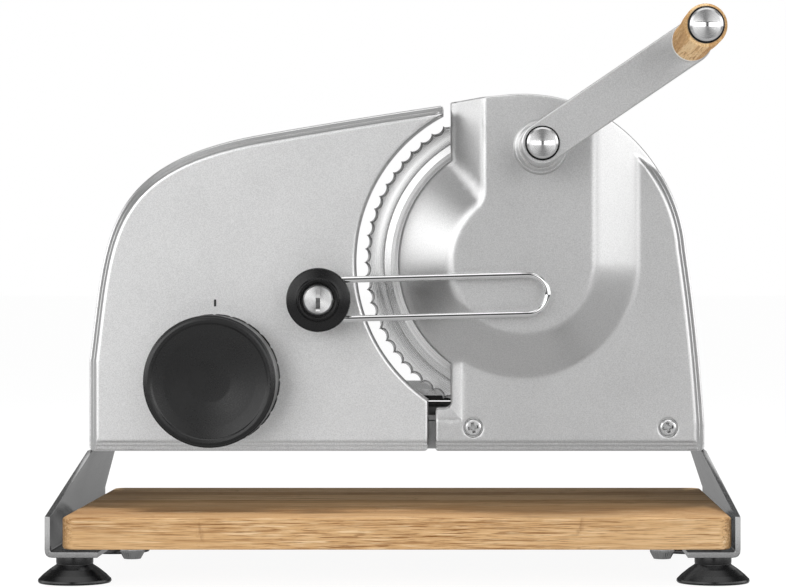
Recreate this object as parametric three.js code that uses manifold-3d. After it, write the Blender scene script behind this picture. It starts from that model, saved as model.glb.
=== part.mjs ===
// A hand cranked food slicer that stands on a bamboo board.
//
// Lengths are in millimetres and +Z is up. While the pieces are made, z = 0 is the table, the blade turns
// about the line x = 0 along Y, and its cutting edge lies in the plane y = 0. The food is on the +Y side,
// and the crank, the knob and the cut slices are on the -Y side. The finished group is shifted so that
// its origin is the middle of its footprint.
import * as THREE from 'three';
import { mergeVertices } from 'three/addons/utils/BufferGeometryUtils.js';
import Module from 'manifold-3d';

const wasm = await Module();
wasm.setup();

// Driving dimensions

const bladeRadius = 85;
const standHeight = 64.2;
const railHeight = 15;
const plateDepth = 26;
const domeRise = 20;
const gaugeSide = 146.6;
const gaugeTipRise = 5.4;
const gaugeFootReach = 50.3;
const gaugeTipReach = 42.2;
const housingSide = 12.6;
const housingWallReach = 38.2;
const housingCornerRise = 0.1;
const plateSlot = 4.1;
const sliceGap = 4.2;
const gaugeTravel = 14;
const crankLength = 91.5;
const crankRestAngle = 34.2;
const crankBearingAngle = 81.2;
const crankFront = 91;
const gripLength = 92.2;
const legReach = 11.1;
const legRightReach = 11.7;
const boardDepth = 215;
const boardFront = 100;
const boardThickness = 16.4;
const boardInset = 8.2;
const bedDepth = 148;

// Clearances

const seat = 0.3;
const running = 1;
const overrun = 2;
const railClearance = 0.6;

// Heights and reaches that follow from the blade

const bladeHeight = standHeight + railHeight + railClearance + bladeRadius;
const gaugeReach = bladeRadius + gaugeSide;
const gaugeArcRadius = bladeRadius + sliceGap;
const gaugeTipHeight = bladeHeight + Math.sqrt(gaugeArcRadius ** 2 - gaugeTipReach ** 2);
const gaugeCornerHeight = gaugeTipHeight + gaugeTipRise;
const housingReach = bladeRadius + housingSide;
const housingCornerHeight = bladeHeight + bladeRadius + housingCornerRise;

// Counts and angles

const degree = Math.PI / 180;
const bladeTeeth = 72;
const gearTeeth = 51;
const pinionTeeth = 30;
const largeSides = 48;
const smallSides = 24;
const screwSides = 16;

// Materials

const satin = new THREE.MeshStandardMaterial({ color: 0xbdbdbd, roughness: 0.42, metalness: 0.75 });
const steel = new THREE.MeshStandardMaterial({ color: 0xcfcfce, roughness: 0.28, metalness: 1 });
const chrome = new THREE.MeshStandardMaterial({ color: 0xe4e4e4, roughness: 0.12, metalness: 1 });
const brass = new THREE.MeshStandardMaterial({ color: 0xc2a35a, roughness: 0.35, metalness: 1 });
const blackPlastic = new THREE.MeshStandardMaterial({ color: 0x1d1d1d, roughness: 0.55, metalness: 0 });
const blackRubber = new THREE.MeshStandardMaterial({ color: 0x161616, roughness: 0.7, metalness: 0 });
const paleNylon = new THREE.MeshStandardMaterial({ color: 0xe8e6e0, roughness: 0.5, metalness: 0 });
const bamboo = new THREE.MeshStandardMaterial({ color: 0xc69a68, roughness: 0.5, metalness: 0 });

// Closed solids from three.js geometry

const weld = 1e-4;

function solid(geometry) {
  const bare = geometry.index ? geometry.toNonIndexed() : geometry.clone();
  bare.deleteAttribute('normal');
  bare.deleteAttribute('uv');
  const merged = mergeVertices(bare, weld);
  const mesh = new wasm.Mesh({
    numProp: 3,
    vertProperties: merged.attributes.position.array,
    triVerts: new Uint32Array(merged.index.array),
  });
  return new wasm.Manifold(mesh);
}

function geometryOf(body) {
  const { vertProperties, triVerts } = body.getMesh();
  const geometry = new THREE.BufferGeometry();
  geometry.setAttribute('position', new THREE.BufferAttribute(vertProperties, 3));
  geometry.setIndex(new THREE.BufferAttribute(triVerts, 1));
  geometry.computeVertexNormals();
  return geometry;
}

function join(...bodies) {
  return bodies.reduce((whole, body) => whole.add(body));
}

function cut(body, ...tools) {
  return tools.reduce((left, tool) => left.subtract(tool), body);
}

// An outline is a list of points in the XZ plane, counter-clockwise as seen from the front.
// slab fills it from y = front to y = back.
function slab(outline, front, back) {
  const geometry = new THREE.ExtrudeGeometry(new THREE.Shape(outline), {
    depth: back - front,
    bevelEnabled: false,
    curveSegments: 1,
  });
  geometry.rotateX(Math.PI / 2);
  geometry.translate(0, back, 0);
  return solid(geometry);
}

// bar fills an outline drawn in the YZ plane from x = left to x = right.
function bar(outline, left, right) {
  const geometry = new THREE.ExtrudeGeometry(new THREE.Shape(outline), {
    depth: right - left,
    bevelEnabled: false,
    curveSegments: 1,
  });
  geometry.rotateX(Math.PI / 2);
  geometry.rotateZ(Math.PI / 2);
  geometry.translate(left, 0, 0);
  return solid(geometry);
}

function block(x0, x1, y0, y1, z0, z1) {
  const geometry = new THREE.BoxGeometry(x1 - x0, y1 - y0, z1 - z0);
  geometry.translate((x0 + x1) / 2, (y0 + y1) / 2, (z0 + z1) / 2);
  return solid(geometry);
}

// A body turned about the Y axis, from [radius, y] pairs that run from the front end to the back end.
function turned(profile, sides) {
  const points = profile.map(([radius, y]) => new THREE.Vector2(radius, y));
  return solid(new THREE.LatheGeometry(points, sides));
}

// A ring turned about the Y axis, whose profile closes on itself.
function ring(inner, outer, front, back, sides) {
  return turned(
    [
      [inner, front],
      [outer, front],
      [outer, back],
      [inner, back],
      [inner, front],
    ],
    sides,
  );
}

function pin(radius, front, back, sides) {
  const geometry = new THREE.CylinderGeometry(radius, radius, back - front, sides);
  geometry.translate(0, (front + back) / 2, 0);
  return solid(geometry);
}

function pinAlongX(radius, left, right, y, z, sides) {
  const geometry = new THREE.CylinderGeometry(radius, radius, right - left, sides);
  geometry.rotateZ(Math.PI / 2);
  geometry.translate((left + right) / 2, y, z);
  return solid(geometry);
}

function moved(body, x, y, z) {
  const geometry = geometryOf(body);
  geometry.translate(x, y, z);
  return solid(geometry);
}

// A solid between two rings of equally many points, each at its own y, the front one first.
function loft(frontRing, frontY, backRing, backY) {
  const count = frontRing.length;
  const places = [];
  frontRing.forEach((point) => places.push(point.x, frontY, point.y));
  backRing.forEach((point) => places.push(point.x, backY, point.y));
  const faces = [];
  THREE.ShapeUtils.triangulateShape(frontRing, []).forEach(([a, b, c]) => faces.push(a, b, c));
  THREE.ShapeUtils.triangulateShape(backRing, []).forEach(([a, b, c]) => {
    faces.push(count + c, count + b, count + a);
  });
  for (let i = 0; i < count; i += 1) {
    const j = (i + 1) % count;
    faces.push(i, count + i, count + j, i, count + j, j);
  }
  const geometry = new THREE.BufferGeometry();
  geometry.setAttribute('position', new THREE.Float32BufferAttribute(places, 3));
  geometry.setIndex(faces);
  return solid(geometry);
}

// Outlines

function arc(x, z, radius, from, to, steps) {
  const points = [];
  for (let i = 0; i <= steps; i += 1) {
    const angle = (from + ((to - from) * i) / steps) * degree;
    points.push(new THREE.Vector2(x + radius * Math.cos(angle), z + radius * Math.sin(angle)));
  }
  return points;
}

function circle(x, z, radius, sides) {
  return arc(x, z, radius, 0, 360, sides).slice(0, sides);
}

// Corners [x, z, radius] moved inwards by a distance, each along its own mitre, their rounds kept parallel.
function inset(corners, distance) {
  const count = corners.length;
  return corners.map(([x, z, radius = 0], i) => {
    const [beforeX, beforeZ] = corners[(i + count - 1) % count];
    const [afterX, afterZ] = corners[(i + 1) % count];
    const before = new THREE.Vector2(x - beforeX, z - beforeZ).normalize();
    const after = new THREE.Vector2(afterX - x, afterZ - z).normalize();
    const share = distance / (1 + before.dot(after));
    const turn = Math.sign(before.cross(after));
    const round = radius ? Math.max(radius - turn * distance, 0) : 0;
    return [x - (before.y + after.y) * share, z + (before.x + after.x) * share, round];
  });
}

function corner(point) {
  return [point.x, point.y, 0];
}

// The outline with a round of the given radius at each corner that names one.
function rounded(corners, steps = 4) {
  const count = corners.length;
  const points = [];
  corners.forEach(([x, z, radius], i) => {
    const point = new THREE.Vector2(x, z);
    if (!radius) {
      points.push(point);
      return;
    }
    const [beforeX, beforeZ] = corners[(i + count - 1) % count];
    const [afterX, afterZ] = corners[(i + 1) % count];
    const back = new THREE.Vector2(beforeX, beforeZ).sub(point).normalize();
    const on = new THREE.Vector2(afterX, afterZ).sub(point).normalize();
    const reach = radius / Math.tan(Math.acos(back.dot(on)) / 2);
    const start = point.clone().addScaledVector(back, reach);
    const end = point.clone().addScaledVector(on, reach);
    points.push(...new THREE.QuadraticBezierCurve(start, point, end).getPoints(steps));
  });
  return points;
}

function rectangle(x0, x1, z0, z1, radius) {
  return rounded([
    [x0, z0, radius],
    [x1, z0, radius],
    [x1, z1, radius],
    [x0, z1, radius],
  ]);
}

// Assembly

const slicer = new THREE.Group();

function add(name, body, material, parent = slicer) {
  const mesh = new THREE.Mesh(geometryOf(body), material);
  mesh.name = name;
  parent.add(mesh);
  return mesh;
}

function groupAt(x, y, z) {
  const group = new THREE.Group();
  group.position.set(x, y, z);
  slicer.add(group);
  return group;
}

// Frame: two rails between the legs, and the bed of the food carriage on top of them

const gaugeLeft = -gaugeReach;
const legThickness = 2.7;
const legTabLeft = gaugeLeft - running;
const legTabRight = housingReach + running;
const railLeft = legTabLeft + legThickness + seat;
const railRight = legTabRight - legThickness - seat;
const railDepth = 12;
const rearRailOffset = 48;
const railTop = standHeight + railHeight;
const railFront = seat;
const rearRailFront = railFront + rearRailOffset;
const legScrewRadius = 2;
const legScrewReach = 12;
const screwClearance = 0.3;
const railMiddle = (standHeight + railTop) / 2;

function rail(front) {
  const body = block(railLeft, railRight, front, front + railDepth, standHeight, railTop);
  const y = front + railDepth / 2;
  const hole = legScrewRadius + screwClearance;
  const reach = legScrewReach + overrun;
  return cut(
    body,
    pinAlongX(hole, railLeft - overrun, railLeft + reach, y, railMiddle, screwSides),
    pinAlongX(hole, railRight - reach, railRight + overrun, y, railMiddle, screwSides),
  );
}

// The front rail also takes the screws of the housing and of the gauge's bracket.
function frontRail() {
  const depth = frontScrewTip + running;
  const hole = pin(legScrewRadius + screwClearance, railFront - overrun, depth, screwSides);
  return cut(
    rail(railFront),
    ...coverScrewColumns.map((x) => moved(hole, x, 0, coverScrewHeight)),
    ...bracketScrewColumns.map((x) => moved(hole, x, 0, bracketScrewHeight)),
  );
}

const frontScrewTip = 8;
const bedBottom = railTop + seat;
const bedThickness = 2.8;
const bedTop = bedBottom + bedThickness;
const bedFrontInset = 1.2;
const bedFront = railFront + bedFrontInset;
const bedBack = bedFront + bedDepth;
const bedLipDrop = 6;
const bedRibBehind = 30;
const bedRibWidth = 4;
const bedRibHeight = 2.5;
const bedRibBack = bedBack - bedRibBehind;
const bedRibFront = bedRibBack - bedRibWidth;

function carriageBed() {
  const outline = [
    [bedFront, bedBottom],
    [bedBack - bedThickness, bedBottom],
    [bedBack - bedThickness, bedBottom - bedLipDrop],
    [bedBack, bedBottom - bedLipDrop],
    [bedBack, bedTop],
    [bedRibBack, bedTop],
    [bedRibBack, bedTop + bedRibHeight],
    [bedRibFront, bedTop + bedRibHeight],
    [bedRibFront, bedTop],
    [bedFront, bedTop],
  ].map(([y, z]) => new THREE.Vector2(y, z));
  return bar(outline, railLeft, railRight);
}

// Legs: one bent sheet each, tapering from the flange up to the tab on the rail ends

const footHeight = 14.3;
const flangeBottom = footHeight + seat;
const flangeTop = flangeBottom + legThickness;
const buttonHeight = 0.7;
const boardBottom = flangeTop + seat + buttonHeight + seat;
const boardTop = boardBottom + boardThickness;
const legBendHeight = boardTop + seat;
const flangeReach = 26.7;
const legBendRadius = 4;
const legTopFront = 15;
const legTopBack = 92;
const legTabInset = 4;
const legTabTop = railTop;
const boardBack = boardDepth - boardFront;
const legLeftX = legTabLeft - legReach + running;
const legRightX = legTabRight + legRightReach - running;

function leg(outerX, tabX, side) {
  const innerX = outerX + side * legThickness;
  const innerTabX = tabX + side * legThickness;
  const flangeX = outerX + side * flangeReach;
  const slantTop = standHeight - seat;
  const innerRadius = legBendRadius - legThickness;
  const corners = [
    [outerX, flangeBottom, legBendRadius],
    [flangeX, flangeBottom, 0],
    [flangeX, flangeTop, 0],
    [innerX, flangeTop, innerRadius],
    [innerX, legBendHeight, 0],
    [innerTabX, slantTop, 0],
    [innerTabX, legTabTop, 0],
    [tabX, legTabTop, 0],
    [tabX, slantTop, 0],
    [outerX, legBendHeight, 0],
  ];
  if (side < 0) corners.reverse();
  const tabFront = railFront + legTabInset;
  const tabBack = rearRailFront + railDepth - legTabInset;
  const silhouette = [
    [-boardFront, flangeBottom - overrun],
    [boardBack, flangeBottom - overrun],
    [boardBack, legBendHeight],
    [legTopBack, slantTop],
    [tabBack, slantTop],
    [tabBack, legTabTop + overrun],
    [tabFront, legTabTop + overrun],
    [tabFront, slantTop],
    [-legTopFront, slantTop],
    [-boardFront, legBendHeight],
  ].map(([y, z]) => new THREE.Vector2(y, z));
  const left = Math.min(outerX, flangeX) - overrun;
  const right = Math.max(outerX, flangeX) + overrun;
  const sheet = slab(rounded(corners), -boardFront, boardBack).intersect(bar(silhouette, left, right));
  const pegHole = footPegRadius + seat;
  const footX = footPlaceX(side);
  const holes = footRows.map((y) => {
    const peg = uprightPin(pegHole, flangeBottom - overrun, flangeTop + overrun, smallSides);
    return moved(peg, footX, y, 0);
  });
  const screwHole = legScrewRadius + screwClearance;
  const screwLeft = Math.min(tabX, innerTabX) - overrun;
  const screwRight = Math.max(tabX, innerTabX) + overrun;
  railRows.forEach((y) => {
    holes.push(pinAlongX(screwHole, screwLeft, screwRight, y, railMiddle, screwSides));
    const sink = countersink(side, sinkRadius + seat, screwHole, sinkDepth + seat);
    holes.push(moved(sink, tabX, y, railMiddle));
  });
  return cut(sheet, ...holes);
}

const railRows = [railFront + railDepth / 2, rearRailFront + railDepth / 2];

function uprightPin(radius, bottom, top, sides) {
  const geometry = new THREE.CylinderGeometry(radius, radius, top - bottom, sides);
  geometry.rotateX(Math.PI / 2);
  geometry.translate(0, 0, (bottom + top) / 2);
  return solid(geometry);
}

// Suction feet: a cup, a neck, and a peg that ends in a button above the flange

const cupRadius = 18.8;
const cupRim = 1.2;
const cupLip = 3.2;
const cupHollow = 2.4;
const neckRadius = 9.5;
const neckBottom = 9;
const footPegRadius = 3.7;
const buttonRadius = 6.4;
const footInset = 12.2;
const footFront = 78;
const footBack = 93;
const footRows = [-footFront, footBack];

function footPlaceX(side) {
  return side > 0 ? legLeftX + footInset : legRightX - footInset;
}

function foot() {
  const buttonBottom = flangeTop + seat;
  const profile = [
    [0, cupHollow],
    [cupRadius - cupLip, 0],
    [cupRadius - cupRim / 2, 0],
    [cupRadius, cupRim],
    [cupRadius - cupLip, cupRim + cupHollow],
    [neckRadius, neckBottom],
    [neckRadius, footHeight],
    [footPegRadius, footHeight],
    [footPegRadius, buttonBottom],
    [buttonRadius, buttonBottom],
    [buttonRadius, buttonBottom + buttonHeight],
    [0, buttonBottom + buttonHeight],
  ];
  return upright(profile, smallSides);
}

// A body turned about the Z axis, from [radius, z] pairs that run from the bottom to the top.
function upright(profile, sides) {
  const points = profile.map(([radius, z]) => new THREE.Vector2(radius, z));
  const geometry = new THREE.LatheGeometry(points, sides);
  geometry.rotateX(Math.PI / 2);
  return solid(geometry);
}

// Countersunk screw along X, its head at the left and its tip at the right, turned round by side < 0.
const sinkRadius = 4;
const sinkDepth = 1.9;

function turnedAlongX(profile, side) {
  const points = profile.map(([radius, x]) => new THREE.Vector2(radius, x));
  const geometry = new THREE.LatheGeometry(points, screwSides);
  geometry.rotateZ(-side * Math.PI / 2);
  return solid(geometry);
}

function countersink(side, radius, endRadius, depth) {
  const profile = [
    [0, -overrun],
    [radius, -overrun],
    [radius, 0],
    [endRadius, depth],
    [0, depth],
  ];
  return turnedAlongX(profile, side);
}

function legScrew(side) {
  const tip = legThickness + legScrewReach;
  const profile = [
    [0, 0],
    [sinkRadius, 0],
    [legScrewRadius, sinkDepth],
    [legScrewRadius, tip],
    [0, tip],
  ];
  return turnedAlongX(profile, side);
}

// Board with its studs

const boardCorner = 7;
const boardEdge = 2;
const boardLeft = legLeftX + boardInset;
const boardRight = legRightX - boardInset / 2;

function board() {
  const outline = rectangle(
    boardLeft + boardEdge,
    boardRight - boardEdge,
    -boardFront + boardEdge,
    boardBack - boardEdge,
    boardCorner,
  );
  const geometry = new THREE.ExtrudeGeometry(new THREE.Shape(outline), {
    depth: boardThickness - 2 * boardEdge,
    bevelThickness: boardEdge,
    bevelSize: boardEdge,
    bevelSegments: 2,
    curveSegments: 1,
  });
  geometry.translate(0, 0, boardBottom + boardEdge);
  return solid(geometry);
}

const studTopRadius = 6.3;
const studBottomRadius = 4.2;
const studDrop = 5;
const studInset = 35;
const studFrontInset = 10;
const studTop = boardBottom - seat;
const studRows = [-boardFront + studFrontInset, boardBack - studFrontInset];
const studColumns = [boardLeft + studInset, boardRight - studInset];

function boardStud() {
  return upright(
    [
      [0, studTop - studDrop],
      [studBottomRadius, studTop - studDrop],
      [studBottomRadius, studTop - studDrop / 2],
      [studTopRadius, studTop - studDrop / 2],
      [studTopRadius, studTop],
      [0, studTop],
    ],
    screwSides,
  );
}

// Housing: a cast cover with a dome over the blade's gears

const coverWall = 2.2;
const coverRadius = bladeRadius + running + coverWall;
const housingFootX = plateSlot - gaugeFootReach;
const ledgeRise = 22.8;
const ledgeHeight = standHeight + ledgeRise;
const footCornerRadius = 1.5;
const ledgeRadius = 3;
const cornerRadius = 2;
const domeFlatRadius = 38.5;
const domeLeft = 21;
const domeSkirt = 25;
const discRadius = 66.3;
const discBack = 13;
const plateFront = -plateDepth;
const domeFront = plateFront - domeRise;
const skirtY = domeFront + domeSkirt;
const sideCurveShares = { start: [0.9, 0.57], bend: [0.97, 0.33], end: [1, 0.075] };
const rimEndAngle = 98;
const rimSteps = 24;
const sideSteps = 8;
const chamferWidth = 6;
const chamferTop = housingCornerHeight + overrun;

function shareOfHousing([shareX, shareZ]) {
  return new THREE.Vector2(
    housingReach * shareX,
    standHeight + (bladeHeight + coverRadius - standHeight) * shareZ,
  );
}

function coverOutline(wall) {
  const [start, bend, end] = ['start', 'bend', 'end'].map((key) => shareOfHousing(sideCurveShares[key]));
  const startAngle = Math.atan2(start.y - bladeHeight, start.x) / degree;
  const rim = arc(0, bladeHeight, coverRadius, startAngle, rimEndAngle, rimSteps);
  const side = new THREE.QuadraticBezierCurve(end, bend, rim[0]).getPoints(sideSteps).slice(0, -1);
  const corners = [
    [-housingWallReach, housingCornerHeight, cornerRadius / 2],
    [-housingWallReach, ledgeHeight, ledgeRadius],
    [housingFootX, ledgeHeight, footCornerRadius],
    [housingFootX, standHeight, footCornerRadius],
    [housingReach, standHeight, cornerRadius],
    ...side.map(corner),
    ...rim.map(corner),
  ];
  return rounded(inset(corners, wall));
}

// The dome's ring: two straight sides at the top, and an arc about the blade's axis below them.
function domeRing(radius, leftReach, top) {
  const leftAngle = 180 - Math.acos(leftReach / radius) / degree;
  return [
    new THREE.Vector2(-leftReach, top),
    ...arc(0, bladeHeight, radius, leftAngle, 360, 36),
    new THREE.Vector2(radius, top),
  ];
}

function domeBody(wall) {
  const top = housingCornerHeight + domeRise;
  const frontRing = domeRing(domeFlatRadius - wall, domeLeft - wall, top);
  const backRing = domeRing(discRadius - wall, housingWallReach - wall, top);
  return loft(frontRing, domeFront + wall, backRing, skirtY + wall / 2);
}

// The void left of the wall widens towards the front, which leaves a chamfer along the wall and the ledge.
function chamferBody(wall) {
  const left = housingFootX - chamferWidth;
  const back = [
    [left, ledgeHeight - wall],
    [wall - housingWallReach, ledgeHeight - wall],
    [wall - housingWallReach, chamferTop],
    [left, chamferTop],
  ].map(([x, z]) => new THREE.Vector2(x, z));
  const front = [
    [left, ledgeHeight - wall - chamferWidth],
    [wall + chamferWidth - housingWallReach, ledgeHeight - wall - chamferWidth],
    [wall + chamferWidth - housingWallReach, chamferTop],
    [left, chamferTop],
  ].map(([x, z]) => new THREE.Vector2(x, z));
  return loft(front, plateFront, back, plateFront + chamferWidth);
}

function coverShape(wall, back) {
  const outline = coverOutline(wall);
  const disc = circle(0, bladeHeight, discRadius - wall, largeSides);
  const plate = cut(slab(outline, plateFront + wall, back), chamferBody(wall));
  const silhouette = join(
    slab(outline, domeFront - overrun, back),
    slab(disc, domeFront - overrun, back),
  );
  const dome = domeBody(wall).intersect(silhouette);
  const skirt = slab(disc, skirtY, wall ? back : -discBack);
  return join(plate, dome, skirt);
}

const panelThickness = 2;
const coverBack = -(panelThickness + seat);
const bladeSpaceDepth = 8.5;
const axleRadius = 5;
const axleBossRadius = 9;
const axleBossBack = -24;
const crankBossRadius = 14;
const crankBossRise = 4;
const crankNeckRadius = 12.6;
const crankNeckRise = 10;
const crankBossBack = -30;
const crankBossInnerRadius = 11;
const shaftRadius = 5;
const bushWall = 2.7;
const bushHoleRadius = shaftRadius + seat + bushWall + seat;
const coverScrewRadius = 2;
const coverScrewHead = 4.8;
const coverScrewRecess = 1.6;
const coverScrewPost = 6;
const coverScrewRise = 12.6;
const coverScrewHeight = standHeight + coverScrewRise;
const coverScrewLeftInset = 12.1;
const coverScrewRightInset = 20.1;
const coverScrewColumns = [
  coverScrewLeftInset - housingWallReach,
  housingReach - coverScrewRightInset,
];

const centreShare = 0.7147;
const centreDistance = centreShare * bladeRadius;
const gearModule = (2 * centreDistance) / (gearTeeth + pinionTeeth);
const crankX = centreDistance * Math.cos(crankBearingAngle * degree);
const crankZ = bladeHeight + centreDistance * Math.sin(crankBearingAngle * degree);

function housingCover() {
  const outer = coverShape(0, coverBack);
  const inner = coverShape(coverWall, coverBack + overrun);
  const bladeDisc = circle(0, bladeHeight, bladeRadius + running, largeSides);
  const bladeSpace = slab(bladeDisc, -bladeSpaceDepth, coverBack + overrun);
  const shell = cut(outer, inner, bladeSpace);
  const domeInside = domeFront + coverWall / 2;
  const post = pin(coverScrewPost, plateFront + coverWall / 2, coverBack, screwSides);
  const posts = coverScrewColumns.map((x) => moved(post, x, 0, coverScrewHeight));
  const axleBoss = pin(axleBossRadius, domeInside, axleBossBack, smallSides);
  const crankBoss = join(
    pin(crankBossRadius, domeFront - crankBossRise, domeInside, largeSides),
    pin(crankNeckRadius, domeFront - crankNeckRise, domeInside, largeSides),
    pin(crankBossInnerRadius, domeInside, crankBossBack, smallSides),
  );
  const screwHole = join(
    pin(coverScrewRadius + seat, plateFront - overrun, coverBack + overrun, screwSides),
    pin(coverScrewHead + seat, plateFront - overrun, plateFront + coverScrewRecess, smallSides),
  );
  const screwHoles = coverScrewColumns.map((x) => moved(screwHole, x, 0, coverScrewHeight));
  const axleHole = pin(axleRadius + seat, domeFront + coverWall, axleBossBack + overrun, smallSides);
  const bushHole = pin(
    bushHoleRadius,
    domeFront - crankNeckRise - overrun,
    crankBossBack + overrun,
    smallSides,
  );
  const solidCover = join(
    shell,
    ...posts,
    moved(axleBoss, 0, 0, bladeHeight),
    moved(crankBoss, crankX, 0, crankZ),
  );
  return cut(
    solidCover,
    ...screwHoles,
    moved(axleHole, 0, 0, bladeHeight),
    moved(bushHole, crankX, 0, crankZ),
  );
}

// The closing panel fills what the blade leaves open at the bottom of the housing.
function rearPanel() {
  const body = slab(coverOutline(coverWall + seat), -panelThickness, 0);
  const through = [-panelThickness - overrun, overrun];
  const bladeSpace = circle(0, bladeHeight, bladeRadius + running + seat, largeSides);
  const screwHole = pin(coverScrewRadius + seat, ...through, screwSides);
  return cut(
    body,
    slab(bladeSpace, ...through),
    block(-coverRadius, coverRadius, ...through, bladeHeight, bladeHeight + coverRadius),
    ...coverScrewColumns.map((x) => moved(screwHole, x, 0, coverScrewHeight)),
  );
}

const headRise = 0.8;
const crossSize = 0.9;
const crossReach = 2.6;
const crossDepth = 1.2;

function crossHeadScrew() {
  const top = plateFront - headRise;
  const under = plateFront + coverScrewRecess - seat;
  const body = turned(
    [
      [0, top],
      [coverScrewHead / 2, top],
      [coverScrewHead, plateFront],
      [coverScrewHead, under],
      [coverScrewRadius, under],
      [coverScrewRadius, frontScrewTip],
      [0, frontScrewTip],
    ],
    screwSides,
  );
  const deep = top + crossDepth;
  const half = crossSize / 2;
  return cut(
    body,
    block(-crossReach, crossReach, top - overrun, deep, -half, half),
    block(-half, half, top - overrun, deep, -crossReach, crossReach),
  );
}

// Blade: a dished disc whose rim is ground into scallops

const bevelRadius = 74.3;
const dishRadius = 62;
const bladeThickness = 1.6;
const bladeEdge = 0.4;
const bevelDepth = 2.6;
const dishDepth = 4;
const hubSpigotRadius = 8;
const toothDepth = 2;
const gulletShares = [0.3, 0.7];

function polar(radius, angle) {
  return new THREE.Vector2(radius * Math.cos(angle), radius * Math.sin(angle));
}

function scallopedRim() {
  const points = [];
  for (let tooth = 0; tooth < bladeTeeth; tooth += 1) {
    const angleOf = (share) => ((tooth + share) * 2 * Math.PI) / bladeTeeth;
    points.push(polar(bladeRadius, angleOf(0)));
    gulletShares.forEach((share) => points.push(polar(bladeRadius - toothDepth, angleOf(share))));
  }
  return points;
}

function blade() {
  const front = -dishDepth - bladeThickness;
  const profile = [
    [hubSpigotRadius + seat, front],
    [dishRadius, front],
    [bevelRadius, -bevelDepth],
    [bladeRadius + running, -bladeEdge],
    [bladeRadius + running, 0],
    [bevelRadius, bladeThickness - bevelDepth],
    [dishRadius, -dishDepth],
    [hubSpigotRadius + seat, -dishDepth],
    [hubSpigotRadius + seat, front],
  ];
  const disc = turned(profile, bladeTeeth);
  return disc.intersect(slab(scallopedRim(), front - overrun, overrun));
}

// Involute gears

const pressureAngle = 20;
const backlash = 0.3;
const addendum = gearModule;
const dedendumShare = 1.25;
const dedendum = dedendumShare * gearModule;

function gearOutline(teeth, firstTooth) {
  const pitchRadius = (teeth * gearModule) / 2;
  const baseRadius = pitchRadius * Math.cos(pressureAngle * degree);
  const involute = (radius) => {
    const spread = Math.acos(Math.min(baseRadius / radius, 1));
    return Math.tan(spread) - spread;
  };
  const halfTooth = Math.PI / (2 * teeth) - backlash / (2 * pitchRadius) + involute(pitchRadius);
  const root = pitchRadius - dedendum;
  const flank = [baseRadius, pitchRadius + addendum];
  const points = [];
  for (let tooth = 0; tooth < teeth; tooth += 1) {
    const middle = firstTooth + (tooth * 2 * Math.PI) / teeth;
    const rising = [[root, -halfTooth], ...flank.map((radius) => [radius, involute(radius) - halfTooth])];
    const falling = rising.map(([radius, angle]) => [radius, -angle]).reverse();
    [...rising, ...falling].forEach(([radius, angle]) => {
      points.push(polar(radius, middle + angle));
    });
  }
  return points;
}

const gearFront = -19;
const gearBack = -11;
const gearHubFront = -23;
const gearHubRadius = 12;
const axleBushWall = 1.2;
const gearBore = axleRadius + seat + axleBushWall + seat;
const bladeFaceFront = -dishDepth - bladeThickness;
const hubBack = bladeFaceFront - seat;
const spigotBack = -dishDepth;
const lineOfCentres = crankBearingAngle * degree;

function bladeGear() {
  const body = join(
    slab(gearOutline(gearTeeth, lineOfCentres), gearFront, gearBack),
    pin(gearHubRadius, gearHubFront, hubBack, smallSides),
    pin(hubSpigotRadius, hubBack - seat, spigotBack, smallSides),
  );
  return cut(body, pin(gearBore, gearHubFront - overrun, spigotBack + overrun, smallSides));
}

const bushInset = 0.5;

function bladeBush() {
  return ring(
    axleRadius + seat,
    axleRadius + seat + axleBushWall,
    gearHubFront + bushInset,
    spigotBack - bushInset,
    smallSides,
  );
}

const lockRadius = 16;
const lockThickness = 2.6;
const lockSlot = 2;
const lockSlotReach = 11;

function bladeLock() {
  const front = spigotBack + seat;
  const back = front + lockThickness;
  const body = turned(
    [
      [0, front],
      [lockRadius, front],
      [lockRadius, (front + back) / 2],
      [lockRadius - running, back],
      [0, back],
    ],
    smallSides,
  );
  const half = lockSlot / 2;
  return cut(body, block(-lockSlotReach, lockSlotReach, (front + back) / 2, back + overrun, -half, half));
}

// Crank: shaft, bush and pinion in the housing, arm and grip in front of it

const pinionFront = -19.5;
const pinionBack = -10.5;
const pinionHubFront = -29;
const pinionHubRadius = 9;
const shaftBack = -9;
const armThickness = 6;
const armRadius = 10.7;
const armBack = armThickness - crankFront;
const bushFlangeRadius = 10.5;
const bushFlangeThickness = 1.2;
const bushFlangeBack = domeFront - crankNeckRise - seat;
const bushFlangeFront = bushFlangeBack - bushFlangeThickness;
const hubNeckBack = bushFlangeFront - seat;
const shaftShoulder = 3;
const coinScrewRadius = 7.97;
const coinScrewHead = 2.6;
const coinScrewShank = 3;
const coinScrewReach = 12;
const coinWasherRadius = 8.9;
const coinWasherThickness = 0.9;
const coinSlotWidth = 1.7;
const coinSlotDepth = 1.3;
const coinSlotReach = 6.2;

// The coin slotted screw's head stands in front of y = 0, and its shank runs back from there.
function coinScrew(reach, slotAngle) {
  const body = turned(
    [
      [0, -coinScrewHead],
      [coinScrewRadius - seat, -coinScrewHead],
      [coinScrewRadius, seat - coinScrewHead],
      [coinScrewRadius, 0],
      [coinScrewShank, 0],
      [coinScrewShank, reach],
      [0, reach],
    ],
    smallSides,
  );
  const half = coinSlotWidth / 2;
  const slot = new THREE.BoxGeometry(2 * coinSlotReach, coinSlotDepth + overrun, 2 * half);
  slot.translate(0, -coinScrewHead + (coinSlotDepth - overrun) / 2, 0);
  slot.rotateY(-slotAngle * degree);
  return cut(body, solid(slot));
}

function coinWasher() {
  return ring(coinScrewShank + seat, coinWasherRadius, -coinWasherThickness, 0, smallSides);
}

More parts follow.
